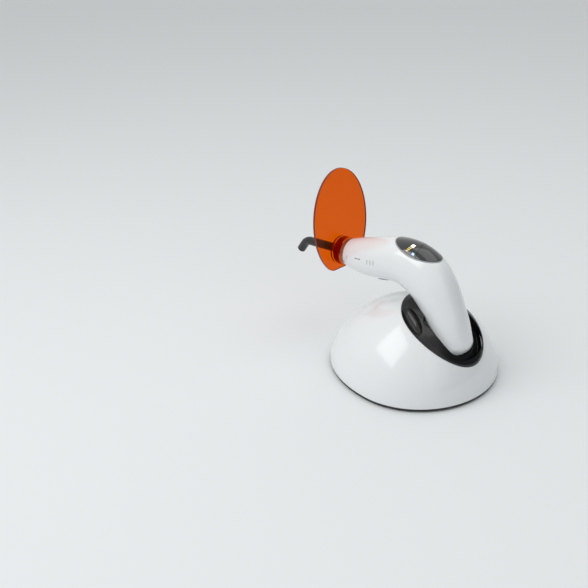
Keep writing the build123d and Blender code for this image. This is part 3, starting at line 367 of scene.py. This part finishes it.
BOARD_GREEN = CircuitBoard("board_green")
MARK_CREAM = LitMark("mark_cream", (1.0, 0.93, 0.74), 1.5)
MARK_AMBER = LitMark("mark_amber", (0.95, 0.72, 0.22), 0.7)
MARK_BLUE = LitMark("mark_blue", (0.42, 0.66, 1.0), 0.9)

_made: dict[str, bpy.types.Material] = {}


def material(finish: object) -> bpy.types.Material:
    """The finish's material, made once."""
    if finish.name not in _made:
        _made[finish.name] = finish.make()
    return _made[finish.name]


# ----------------------------------------------------------------------------- mesh helpers


def keep_mesh(
    mesh: bmesh.types.BMesh,
    name: str,
    body: str,
    finishes: Iterable[object],
    replaces: Iterable[str] = (),
    sharp: float = 32.0,
    modifiers: Iterable[tuple[str, dict[str, object]]] = (),
) -> bpy.types.Object:
    """Turn a bmesh into a finished piece of the object.

    Args:
        mesh: the shape, which is freed.
        name: the piece's name.
        body: the CAD body it rides on.
        finishes: its finishes, in slot order.
        replaces: CAD nodes that it stands for.
        sharp: angle in degrees over which an edge stays crisp.
        modifiers: modifier types and settings, applied in order.

    Returns:
        The new object.
    """
    data = bpy.data.meshes.new(name)
    mesh.to_mesh(data)
    mesh.free()
    if "custom_normal" in data.attributes:
        data.attributes.remove(data.attributes["custom_normal"])
    piece = bpy.data.objects.new(name, data)
    bpy.context.scene.collection.objects.link(piece)
    for kind, settings in modifiers:
        modifier = piece.modifiers.new(kind.title(), kind)
        for key, value in settings.items():
            setattr(modifier, key, value)
    if piece.modifiers:
        graph = bpy.context.evaluated_depsgraph_get()
        piece.data = bpy.data.meshes.new_from_object(piece.evaluated_get(graph))
        piece.data.name = name
        piece.modifiers.clear()
    piece.data.materials.clear()
    for finish in finishes:
        piece.data.materials.append(material(finish))
    piece.data.shade_smooth()
    piece.data.set_sharp_from_angle(angle=math.radians(sharp))
    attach(piece, body)
    if replaces:
        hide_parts(*replaces)
    LOG.info("%s on %s: %d faces", name, body, len(piece.data.polygons))
    return piece


def grid_patch(
    across: int, along: int, place: Callable[[np.ndarray, np.ndarray], np.ndarray]
) -> bmesh.types.BMesh:
    """Grid of quads laid on a surface.

    Args:
        across: number of steps of the first parameter.
        along: number of steps of the second parameter.
        place: gives the points for two arrays of parameters from 0 to 1.

    Returns:
        The mesh, with doubled seam and pole vertices merged.
    """
    mesh = bmesh.new()
    bmesh.ops.create_grid(mesh, x_segments=across, y_segments=along, size=1.0)
    flat = np.array([vertex.co[:2] for vertex in mesh.verts]) * 0.5 + 0.5
    for vertex, point in zip(mesh.verts, place(flat[:, 0], flat[:, 1])):
        vertex.co = point
    bmesh.ops.remove_doubles(mesh, verts=mesh.verts, dist=1e-6)
    return mesh


def point_faces(mesh: bmesh.types.BMesh, inside: Vector) -> None:
    """Turn an open patch's faces away from a point inside."""
    mesh.normal_update()
    total = sum((face.calc_center_median() - inside).dot(face.normal) for face in mesh.faces)
    if total < 0:
        bmesh.ops.reverse_faces(mesh, faces=mesh.faces)


def oval_cutter(place: Matrix, half_x: float, half_y: float, low: float, high: float) -> bpy.types.Object:
    """Oval block used once to cut an opening."""
    mesh = bmesh.new()
    bmesh.ops.create_circle(mesh, cap_ends=True, segments=128, radius=1.0)
    bmesh.ops.scale(mesh, vec=(half_x, half_y, 1.0), verts=mesh.verts)
    bmesh.ops.translate(mesh, vec=(0, 0, low), verts=mesh.verts)
    top = bmesh.ops.extrude_face_region(mesh, geom=list(mesh.faces))["geom"]
    lifted = [item for item in top if isinstance(item, bmesh.types.BMVert)]
    bmesh.ops.translate(mesh, vec=(0, 0, high - low), verts=lifted)
    bmesh.ops.recalc_face_normals(mesh, faces=mesh.faces)
    mesh.transform(place)
    data = bpy.data.meshes.new("cutter")
    mesh.to_mesh(data)
    mesh.free()
    cutter = bpy.data.objects.new("cutter", data)
    bpy.context.scene.collection.objects.link(cutter)
    return cutter


def cut_by(cutter: bpy.types.Object) -> tuple[str, dict[str, object]]:
    """Modifier entry that takes a cutter away."""
    return "BOOLEAN", {"operation": "DIFFERENCE", "solver": "EXACT", "object": cutter}


def plane_matrix(origin: Vector, x_dir: Vector, z_dir: Vector) -> Matrix:
    """Matrix of a plane from its origin, x direction and normal."""
    z_dir = Vector(z_dir).normalized()
    x_dir = Vector(x_dir).normalized()
    y_dir = z_dir.cross(x_dir)
    turn = Matrix((x_dir, y_dir, z_dir)).transposed().to_4x4()
    return Matrix.Translation(origin) @ turn


# ----------------------------------------------------------------------------- forms


@dataclass
class DomeForm:
    """The base's dome: two half ellipses in plan under one rounded meridian."""

    crown_x: float = 14 * MM
    front: float = 89 * MM
    rear: float = 66 * MM
    half_width: float = 72.5 * MM
    floor: float = 3.4 * MM
    crown: float = 74 * MM
    fullness: float = 0.45

    def meridian(self, steps: int) -> np.ndarray:
        """Points (share of the radius, height) from the rim to the crown."""
        t = np.linspace(0.0, 1.0, steps + 1)
        height = self.crown - self.floor
        share = (1 - t) ** 3 + 3 * t * (1 - t) ** 2 + 3 * t**2 * (1 - t) * self.fullness
        rise = 3 * t * (1 - t) ** 2 * self.fullness + 3 * t**2 * (1 - t) + t**3
        return np.column_stack((share, self.floor + rise * height))


@dataclass
class HandpieceForm:
    """The handpiece's skin: ellipses across a centreline that bends at the elbow."""

    elbow: tuple[float, float] = (11.0, 98.0)
    barrel_length: float = 82.0
    barrel_droop: float = 5.6
    grip_length: float = 77.5
    grip_chord: float = 56.3
    grip_dip: float = 62.0
    nose_radius: float = 13.5
    butt_radius: float = 15.2
    butt_round: float = 9.0
    barrel: tuple = (
        (0.91, 0.3, -7.0, 15.2, 15.0),
        (0.68, 2.0, -7.0, 18.4, 17.5),
        (0.44, 5.3, -5.0, 19.9, 19.0),
        (0.21, 5.9, 6.0, 21.4, 19.5),
    )
    grip: tuple = (
        (0.00, 0.0, 27.0, 23.0, 19.5),
        (0.24, 5.8, 47.0, 21.5, 19.0),
        (0.47, 5.5, 57.0, 19.5, 18.0),
        (0.70, 3.3, 61.0, 18.2, 17.6),
        (0.87, 1.2, 62.0, 16.6, 16.6),
    )
    lines: np.ndarray = field(default=None, repr=False)

    def __post_init__(self) -> None:
        """Work out the smooth centreline table (x, z, dip, half height, half width)."""
        elbow = np.array(self.elbow)
        droop = math.radians(self.barrel_droop)
        chord = math.radians(self.grip_chord)
        nose = elbow + self.barrel_length * np.array((-1.0, -math.tan(droop)))
        butt = elbow + self.grip_length * np.array((math.cos(chord), -math.sin(chord)))
        outward = np.array((math.sin(chord), math.cos(chord)))
        rows = [(*nose, -self.barrel_droop, self.nose_radius, self.nose_radius)]
        for share, rise, *rest in self.barrel:
            rows.append((*(elbow + (nose - elbow) * share + (0, rise)), *rest))
        for share, bulge, *rest in self.grip:
            rows.append((*(elbow + (butt - elbow) * share + outward * bulge), *rest))
        rows.append((*butt, self.grip_dip, self.butt_radius, self.butt_radius))
        self.lines = self._smooth(np.array(rows), 900)
        self.nose = Vector((nose[0] * MM, 0, nose[1] * MM))
        self.butt = Vector((butt[0] * MM, 0, butt[1] * MM))
        self.ahead = Vector((-math.cos(droop), 0, -math.sin(droop)))
        dip = math.radians(self.grip_dip)
        self.down = Vector((math.cos(dip), 0, -math.sin(dip)))

    @staticmethod
    def _smooth(rows: np.ndarray, count: int) -> np.ndarray:
        """Natural cubic spline through the stations, evenly sampled by distance."""
        gaps = np.hypot(*np.diff(rows[:, :2], axis=0).T)
        knots = np.concatenate(((0.0,), np.cumsum(gaps)))
        size = len(knots)
        system = np.eye(size)
        right = np.zeros((size, rows.shape[1]))
        for i in range(1, size - 1):
            system[i, i - 1 : i + 2] = gaps[i - 1], 2 * (gaps[i - 1] + gaps[i]), gaps[i]
            slope = (rows[i + 1] - rows[i]) / gaps[i] - (rows[i] - rows[i - 1]) / gaps[i - 1]
            right[i] = 6 * slope
        bend = np.linalg.solve(system, right)
        at = np.linspace(0.0, knots[-1], count)
        i = np.clip(np.searchsorted(knots, at) - 1, 0, size - 2)
        gap = gaps[i][:, None]
        left = (knots[i + 1] - at)[:, None]
        near = (at - knots[i])[:, None]
        return (
            (bend[i] * left**3 + bend[i + 1] * near**3) / (6 * gap)
            + (rows[i] / gap - bend[i] * gap / 6) * left
            + (rows[i + 1] / gap - bend[i + 1] * gap / 6) * near
        )

    def section(self, share: np.ndarray) -> tuple[np.ndarray, ...]:
        """Centre, up direction and half sizes, in metres, at shares of the centreline."""
        at = np.clip(share, 0, 1) * (len(self.lines) - 1)
        row = np.array([np.interp(at, np.arange(len(self.lines)), column) for column in self.lines.T])
        dip = np.radians(row[2])
        centre = np.column_stack((row[0], np.zeros_like(dip), row[1])) * MM
        up = np.column_stack((np.sin(dip), np.zeros_like(dip), np.cos(dip)))
        return centre, up, row[3] * MM, row[4] * MM

    def skin(self, share: np.ndarray, turn: np.ndarray, grow: float = 0.0) -> np.ndarray:
        """Points of the skin; turn is in radians from the top, positive towards +Y."""
        centre, up, half_height, half_width = self.section(share)
        rise = ((half_height + grow) * np.cos(turn))[:, None] * up
        side = ((half_width + grow) * np.sin(turn))[:, None] * np.array((0.0, 1.0, 0.0))
        return centre + rise + side

    def level(self, points: np.ndarray) -> np.ndarray:
        """How far out points lie: under 1 inside the skin, over 1 outside."""
        centre, up, half_height, half_width = self.section(np.linspace(0, 1, 500))
        along = np.column_stack((up[:, 2], np.zeros(len(up)), -up[:, 0]))
        best = np.full(len(points), 9.0)
        for number in range(0, len(points), 400):
            part = points[number : number + 400]
            offset = part[:, None, :] - centre[None]
            ahead = np.abs(np.einsum("nki,ki->nk", offset, along))
            rise = np.einsum("nki,ki->nk", offset, up) / half_height
            out = np.hypot(rise, part[:, 1:2] / half_width)
            out = np.where(ahead < 0.6 * MM, out, 9.0)
            best[number : number + 400] = out.min(axis=1)
        return best

    def drop_on(self, start: np.ndarray, direction: np.ndarray, reach: float) -> np.ndarray:
        """Points where lines from inside the body leave its skin."""
        near = np.zeros(len(start))
        far = np.full(len(start), reach)
        for _ in range(22):
            middle = (near + far) / 2
            inside = self.level(start + middle[:, None] * direction) < 1.0
            near = np.where(inside, middle, near)
            far = np.where(inside, far, middle)
        return start + near[:, None] * direction


DOME = DomeForm()
HAND = HandpieceForm()


# ----------------------------------------------------------------------------- sub-assemblies


def dress(node: str, finish: object) -> None:
    """Give a CAD node that stays as it is a finish.

    Args:
        node: the node's name.
        finish: what it is made of.
    """
    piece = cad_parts[node]
    if not piece.material_slots:
        piece.data.materials.append(None)
    for slot in piece.material_slots:
        slot.material = material(finish)
    LOG.info("%s keeps its shape, finish %s", node, finish.name)


def polished(node: str, body: str, finish: object, sharp: float = 28.0) -> bpy.types.Object:
    """Stand in for a CAD node with a merged, smoothly shaded copy of it.

    Args:
        node: the node's name.
        body: the body it rides on.
        finish: what it is made of.
        sharp: angle in degrees over which an edge stays crisp.

    Returns:
        The new piece.
    """
    mesh = bmesh.new()
    mesh.from_mesh(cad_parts[node].data)
    mesh.transform(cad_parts[node].matrix_world)
    bmesh.ops.remove_doubles(mesh, verts=mesh.verts, dist=2e-6)
    bmesh.ops.dissolve_degenerate(mesh, edges=mesh.edges, dist=1e-6)
    return keep_mesh(mesh, f"{node}_smooth", body, [finish], [node], sharp)


def spring(node: str, body: str) -> None:
    """Stand in for a coil with a smoothly shaded copy of its own mesh; the copy keeps one length, though
    the real coil shortens as what it carries is pressed.

    Args:
        node: the coil's CAD node.
        body: the body its fixed end stands on.
    """
    piece = polished(node, body, SPRING_STEEL)
    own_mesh(piece)


@dataclass
class ChargingBase:
    """Dome, cradle, foot and everything between them."""

    wall: float = 2.4 * MM
    cradle_x: float = 35.5 * MM
    cradle_half_x: float = 37.15 * MM
    cradle_half_y: float = 35.15 * MM
    coil_depth: float = 10.1 * MM
    coil_side: float = 5.0 * MM
    coil_keep: float = 0.77
    inlet_half: tuple[float, float] = (4.7 * MM, 5.45 * MM)
    inlet_place: tuple[float, float, float] = (14 * MM, 70 * MM, 12.75 * MM)
    inlet_reach: float = 6 * MM
    inside: tuple[float, float, float] = (20 * MM, 0.0, 10 * MM)
    around: int = 220
    upward: int = 60

    def build(self) -> None:
        """Make and dress the whole base."""
        self.shell()
        polished("cradle", "base", CRADLE_BLACK, 34.0)
        polished("foot_ring", "base", FOOT_RUBBER)
        polished("base_plate", "base", PLATE_BLACK)
        for name, side in (("left", self.coil_side), ("right", -self.coil_side)):
            spring(f"contact_spring_{name}", "base")
        for node, finish in {
            "base_screws": SCREW_STEEL,
            "ballast_plate": BALLAST_STEEL,
            "inlet_board": BOARD_GREEN,
            "dc_inlet": PLATE_BLACK,
            "inlet_pin": SPRING_STEEL,
            "charging_board": BOARD_GREEN,
            "board_screws": SCREW_STEEL,
            "contact_sleeves": CONTACT_GOLD,
            "contact_pin_left": CONTACT_GOLD,
            "contact_pin_right": CONTACT_GOLD,
        }.items():
            dress(node, finish)

    def skin(self, around: np.ndarray, rise: np.ndarray) -> np.ndarray:
        """Dome's skin from the rim (0) up to the edge of the cradle's opening (1)."""
        turn = around * math.tau
        reach = np.where(np.cos(turn) < 0, DOME.front, DOME.rear)
        far_x = reach * np.cos(turn)
        far_y = DOME.half_width * np.sin(turn)
        shift = DOME.crown_x - self.cradle_x
        a = (far_x / self.cradle_half_x) ** 2 + (far_y / self.cradle_half_y) ** 2
        b = shift * far_x / self.cradle_half_x**2
        c = (shift / self.cradle_half_x) ** 2 - 1
        share = (-b + np.sqrt(b * b - a * c)) / a
        line = DOME.meridian(600)
        steps = np.linspace(0, 1, len(line))
        last = np.interp(share, line[::-1, 0], steps[::-1])
        at = last * rise
        radius = np.interp(at, steps, line[:, 0])
        height = np.interp(at, steps, line[:, 1])
        return np.column_stack((DOME.crown_x + radius * far_x, radius * far_y, height))

    def shell(self) -> None:
        """White dome with the cradle's opening and the inlet's hole."""
        mesh = grid_patch(self.around, self.upward, self.skin)
        point_faces(mesh, Vector(self.inside))
        place = plane_matrix(Vector(self.inlet_place), Vector((-1, 0, 0)), Vector((0, 1, 0)))
        cutter = oval_cutter(place, *self.inlet_half, -self.inlet_reach, self.inlet_reach)
        thick = {"thickness": self.wall, "offset": -1.0, "use_even_offset": True}
        soft = {"width": 0.25 * MM, "segments": 2, "limit_method": "ANGLE", "angle_limit": 0.8}
        finishers = [("SOLIDIFY", thick), ("BEVEL", soft), cut_by(cutter)]
        keep_mesh(mesh, "base_dome", "base", [SHELL_WHITE], ["base_shell"], 32.0, finishers)
        bpy.data.objects.remove(cutter)


@dataclass
class Handpiece:
    """The white body with its display, keys and the works inside."""

    wall: float = 2.2 * MM
    around: int = 64
    along: int = 190
    display_origin: tuple[float, float, float] = (4.5 * MM, 0.0, 98 * MM)
    display_tilt: float = 3.0
    display_half: tuple[float, float] = (24.0 * MM, 14.5 * MM)
    button_origin: tuple[float, float, float] = (-34 * MM, 0.0, 98 * MM)
    button_slope: float = 10.0
    button_half: tuple[float, float] = (8.3 * MM, 5.8 * MM)
    screen_cut: tuple[float, float] = (4 * MM, 40 * MM)
    button_cut: tuple[float, float] = (6 * MM, 40 * MM)
    block_radius: float = 8.6 * MM
    block_cut: tuple[float, float] = (-5 * MM, 10 * MM)
    inside_elbow: tuple[float, float, float] = (0.0, 0.0, 95 * MM)
    inside_barrel: tuple[float, float, float] = (-50 * MM, 0.0, 93 * MM)
    straight_rows: float = 0.86
    round_rows: float = 0.10
    sign_start: float = 2 * MM
    sign_reach: float = 30 * MM
    sign_lift: float = 0.04 * MM
    row_start: float = 0.4
    row_step: float = 0.1
    row_slant: float = 1 / 3
    block_side: float = 3.4 * MM
    bar_length: float = 3.0 * MM
    bar_step: float = 0.5 * MM
    bar_width: float = 0.8 * MM
    dot_back: float = 3.0 * MM
    dot_size: tuple[float, float] = (2.4 * MM, 1.6 * MM)
    nose_tick_at: float = 6.0 * MM
    dashes_at: float = 18.0 * MM
    uprights_at: float = 34.0 * MM
    print_pitch: float = 4.0 * MM
    upright: tuple[float, float] = (0.6 * MM, 12.0)
    dash: tuple[float, float] = (3.0 * MM, 3.0)
    print_line: float = 77.5
    print_fall: float = 0.1
    board_drop: float = 6.0 * MM
    coil_keep: float = 0.89

    def build(self) -> None:
        """Make and dress the whole handpiece."""
        self.shell("left_shell", 1)
        self.shell("right_shell", -1)
        polished("display_bezel", "handpiece", BEZEL_GREY)
        polished("display_window", "handpiece", DISPLAY_BLACK, 40.0)
        polished("mode_key", "mode_key", KEY_BLACK, 40.0)
        self.marks()
        self.prints()
        spring("button_spring", "handpiece")
        polished("power_button", "power_button", BUTTON_GREY, 40.0)
        polished("nose_collar", "handpiece", COLLAR_METAL)
        polished("contact_block", "handpiece", PLATE_BLACK)
        for node, finish in {
            "handpiece_screws": SCREW_STEEL,
            "charge_pads": CONTACT_GOLD,
            "display_board": BOARD_GREEN,
            "display_module": MODULE_CREAM,
            "key_switch": MODULE_CREAM,
            "main_board": BOARD_GREEN,
            "power_switch": MODULE_CREAM,
            "buzzer": PLATE_BLACK,
            "battery_cell": CELL_WRAP,
            "battery_top_contact": CONTACT_GOLD,
            "battery_spring": SPRING_STEEL,
            "led_board": BOARD_GREEN,
            "led_emitter": EMITTER_YELLOW,
            "collimator_lens": LENS_GLASS,
            "heat_sink": SINK_ALUMINIUM,
        }.items():
            dress(node, finish)

    def marks(self) -> None:
        """Lit generic signs: a block and three bars in one slanting row, and a dot behind its end."""
        self.mark("sign_block", MARK_CREAM, self.row_place(0), (self.block_side, self.block_side))
        for number, letter in enumerate("abc"):
            size = (self.bar_length - number * self.bar_step, self.bar_width)
            self.mark(f"sign_tick_{letter}", MARK_AMBER, self.row_place(number + 2), size)
        dot_place = (self.dot_back, self.row_place(4)[1])
        self.mark("sign_dot", MARK_BLUE, dot_place, self.dot_size)

    def row_place(self, step: int) -> tuple[float, float]:
        """Place on the display plane of one step of the row of signs.

        Args:
            step: how many steps it is from the row's first sign.

        Returns:
            How far back and to the left of the display's middle it is.
        """
        side = -(self.row_start + step * self.row_step) * self.display_half[1]
        return side * self.row_slant, side

    def prints(self) -> None:
        """Plain printed ticks on the barrel's right side: an upright, two dashes, three uprights."""
        ticks = [(self.nose_tick_at, self.upright)]
        ticks += [(self.dashes_at + number * self.print_pitch, self.dash) for number in range(2)]
        ticks += [(self.uprights_at + number * self.print_pitch, self.upright) for number in range(3)]
        for number, (start, size) in enumerate(ticks):
            self.print_tick(f"print_tick_{number + 1}", start, size)

    def print_tick(self, name: str, start: float, size: tuple[float, float]) -> None:
        """Print one tick on the barrel.

        Args:
            name: the tick's name.
            start: its distance back from the nose.
            size: its length, and its height in degrees round the barrel.
        """
        top = self.print_line + self.print_fall * start / MM

        def on_side(across: np.ndarray, along: np.ndarray) -> np.ndarray:
            """Points of the tick, a hair over the skin."""
            share = (start + across * size[0]) / self._centre_length()
            return HAND.skin(share, -np.radians(top + along * size[1]), self.sign_lift)

        mesh = grid_patch(2, 8, on_side)
        point_faces(mesh, Vector(self.inside_barrel))
        keep_mesh(mesh, name, "handpiece", [PRINT_GREY])

    def mark(
        self, name: str, finish: object, centre: tuple[float, float], size: tuple[float, float]
    ) -> None:
        """Lay one flat sign on the window.

        Args:
            name: the sign's name.
            finish: what it is made of.
            centre: its place on the display plane, back and to the left.
            size: its length and width.
        """
        place = self.display_place()
        out = np.array(place.to_3x3().col[2])

        def on_glass(across: np.ndarray, along: np.ndarray) -> np.ndarray:
            """Points of the sign, a hair over the glass."""
            flat = np.column_stack(
                (
                    centre[0] + (across - 0.5) * size[0],
                    centre[1] + (along - 0.5) * size[1],
                    np.full_like(across, self.sign_start),
                )
            )
            start = np.array([place @ Vector(point) for point in flat])
            return HAND.drop_on(start, out, self.sign_reach) + out * self.sign_lift

        mesh = grid_patch(6, 6, on_glass)
        point_faces(mesh, Vector(self.display_origin))
        keep_mesh(mesh, name, "handpiece", [finish])

    def display_place(self) -> Matrix:
        """Plane of the display: x back along the handpiece, z up out of it."""
        tilt = math.radians(self.display_tilt)
        back = Vector((math.cos(tilt), 0, -math.sin(tilt)))
        out = Vector((math.sin(tilt), 0, math.cos(tilt)))
        return plane_matrix(Vector(self.display_origin), back, out)

    def button_place(self) -> Matrix:
        """Plane of the power button: x back along the barrel, z down out of it."""
        slope = math.radians(self.button_slope)
        back = Vector((math.cos(slope), 0, math.sin(slope)))
        out = Vector((math.sin(slope), 0, -math.cos(slope)))
        return plane_matrix(Vector(self.button_origin), back, out)

    def half_skin(self, side: int) -> Callable[[np.ndarray, np.ndarray], np.ndarray]:
        """Skin of one side from the nose to the rounded butt.

        Args:
            side: 1 for the half towards +Y, -1 for the other.

        Returns:
            The function that a grid patch is laid with.
        """
        tail = HAND.butt_round * MM
        length = 1.0 - tail / self._centre_length()
        cap_start = self.straight_rows + self.round_rows

        def place(around: np.ndarray, along: np.ndarray) -> np.ndarray:
            """Point of the half skin."""
            turn = side * around * math.pi
            bend = np.clip((along - self.straight_rows) / self.round_rows, 0, 1) * math.pi / 2
            cap = np.clip((along - cap_start) / (1 - cap_start), 0, 1)[:, None]
            share = np.clip(along / self.straight_rows, 0, 1) * length + (1 - length) * np.sin(bend)
            points = HAND.skin(share, turn, -tail * (1 - np.cos(bend)))
            return points + (np.array(HAND.butt) - points) * cap

        return place

    @staticmethod
    def _centre_length() -> float:
        """Length of the centreline in metres."""
        return float(np.hypot(*np.diff(HAND.lines[:, :2], axis=0).T).sum()) * MM

    def shell(self, node: str, side: int) -> None:
        """One half of the white body.

        Args:
            node: the CAD node it stands for.
            side: 1 for the half towards +Y, -1 for the other.
        """
        mesh = grid_patch(self.around, self.along, self.half_skin(side))
        point_faces(mesh, Vector(self.inside_elbow))
        screen = oval_cutter(self.display_place(), *self.display_half, *self.screen_cut)
        key = oval_cutter(self.button_place(), *self.button_half, *self.button_cut)
        butt = plane_matrix(HAND.butt, Vector((0, 1, 0)), HAND.down)
        block = oval_cutter(butt, self.block_radius, self.block_radius, *self.block_cut)
        thick = {"thickness": self.wall, "offset": -1.0, "use_even_offset": True}
        finishers = [("SOLIDIFY", thick), cut_by(screen), cut_by(key), cut_by(block)]
        keep_mesh(mesh, f"{node}_smooth", "handpiece", [SHELL_WHITE], [node], 32.0, finishers)
        for cutter in (screen, key, block):
            bpy.data.objects.remove(cutter)


@dataclass
class FrontEnd:
    """Shield on its ring, and the light guide in its ferrule."""

    hub_radius: float = 14.5 * MM

    def shield(self) -> None:
        """Clear orange plate; its cut edge faces get an opaque dark red finish, painted shade standing in
        for how the clear edge looks in light.
        """
        piece = polished("shield", "shield", SHIELD_ORANGE)
        # The cut edge faces take the painted-shade finish: opaque dark red in place of how light looks in
        # the clear edge.
        piece.data.materials.append(material(SHIELD_EDGE_SHADE))
        for face in piece.data.polygons:
            offset = face.center - HAND.nose
            out = (offset - HAND.ahead * offset.dot(HAND.ahead)).length
            if out > self.hub_radius and abs(face.normal.dot(HAND.ahead)) < 0.7:
                face.material_index = 1

    def build(self) -> None:
        """Make and dress the parts in front of the nose."""
        self.shield()
        polished("shield_ring", "shield_ring", RING_AMBER)
        polished("guide_collet", "guide_collet", RING_AMBER)
        polished("guide_ferrule", "light_guide", FERRULE_STEEL)
        polished("guide_sheath", "light_guide", GUIDE_BLACK)
        polished("guide_core", "light_guide", LENS_GLASS)


# ----------------------------------------------------------------------------- studio


@dataclass
class Studio:
    """Floor, lights, world and camera. A grey card stands out of view behind the right side."""

    room: tuple[float, float, float] = (0.90, 0.91, 0.915)
    card: tuple[float, float, float] = (0.10, 0.125, 0.135)
    card_way: tuple[float, float, float] = (0.86, 0.45, 0.16)
    glow: float = 0.76

    target: tuple[float, float, float] = (0.0, 0.0, 0.0965)
    azimuth: float = 38.7
    elevation: float = 25.8
    distance: float = 0.917
    lens: float = 63.98
    roll: float = -2.5
    aim_right: float = 6.49
    aim_up: float = 1.33

    def build(self) -> None:
        """Set the stage."""
        self.floor()
        self.world()
        self.camera()
        self.light("key_soft", (-0.35, -0.75, 0.95), (0.0, 0.0, 0.07), (0.9, 0.7), 4.4)
        self.light("fill_right", (0.95, -0.25, 0.6), (0.0, 0.0, 0.08), (0.6, 0.9), 0.5)
        self.light("top_soft", (0.1, 0.25, 1.1), (0.0, 0.0, 0.05), (0.9, 0.9), 2.2)

    def floor(self) -> None:
        """Wide pale floor."""
        mesh = bmesh.new()
        bmesh.ops.create_grid(mesh, x_segments=1, y_segments=1, size=40.0)
        data = bpy.data.meshes.new("floor")
        mesh.to_mesh(data)
        mesh.free()
        floor = bpy.data.objects.new("floor", data)
        bpy.context.scene.collection.objects.link(floor)
        pale = Plastic("floor_pale", (0.80, 0.82, 0.83), 0.6, 0.02, 0.995, 300.0, 0.02)
        data.materials.append(material(pale))

    def world(self) -> None:
        """Pale surroundings with one soft grey card."""
        world = bpy.data.worlds.new("studio")
        book = NodeBook(world, "ShaderNodeOutputWorld", "Generated")
        settings = {"operation": "DOT_PRODUCT"}
        card = tuple(Vector(self.card_way).normalized())
        inputs = {0: book.coordinates, 1: card}
        toward = Value(book, book.add("ShaderNodeVectorMath", settings, inputs, "Value"))
        shade = book.mix(toward.over(0.74, 0.42), self.room, self.card)
        light = book.add("ShaderNodeBackground", {}, {"Color": shade, "Strength": self.glow})
        book.tree.links.new(light, book.output.inputs["Surface"])
        bpy.context.scene.world = world
        bpy.context.scene.view_settings.view_transform = "Standard"

    def light(
        self,
        name: str,
        place: tuple[float, float, float],
        aim: tuple[float, float, float],
        size: tuple[float, float],
        power: float,
    ) -> None:
        """Add a soft rectangular light.

        Args:
            name: the light's name.
            place: where it hangs.
            aim: the point it faces.
            size: its two sides.
            power: its power in watts.
        """
        data = bpy.data.lights.new(name, "AREA")
        data.shape = "RECTANGLE"
        data.size, data.size_y = size
        data.energy = power
        light = bpy.data.objects.new(name, data)
        way = Vector(aim) - Vector(place)
        light.matrix_world = Matrix.Translation(place) @ way.to_track_quat("-Z", "Y").to_matrix().to_4x4()
        bpy.context.scene.collection.objects.link(light)

    def camera(self) -> None:
        """Camera that looks down on the light from its front right."""
        turn, tilt = math.radians(self.azimuth), math.radians(self.elevation)
        back = Vector((math.sin(turn) * math.cos(tilt), -math.cos(turn) * math.cos(tilt), math.sin(tilt)))
        right = Vector((math.cos(turn), math.sin(turn), 0))
        up = back.cross(right)
        rows = Matrix((right, up, back))
        roll = Matrix.Rotation(math.radians(self.roll), 3, "Z")
        aim = Vector((math.tan(math.radians(self.aim_right)), math.tan(math.radians(self.aim_up)), -1))
        swing = Vector((0, 0, -1)).rotation_difference(aim.normalized()).to_matrix()
        view = swing @ roll @ rows
        data = bpy.data.cameras.new("camera")
        data.lens = self.lens
        data.sensor_width = 36.0
        data.clip_start = 0.05
        camera = bpy.data.objects.new("camera", data)
        place = Matrix.Translation(Vector(self.target) + back * self.distance)
        camera.matrix_world = place @ view.transposed().to_4x4()
        bpy.context.scene.collection.objects.link(camera)
        bpy.context.scene.camera = camera


def main() -> None:
    """Build the stage and the curing light, in order."""
    logging.basicConfig(level=logging.INFO, format="%(message)s")
    Studio().build()
    ChargingBase().build()
    Handpiece().build()
    FrontEnd().build()


if __name__ == "__main__":
    main()
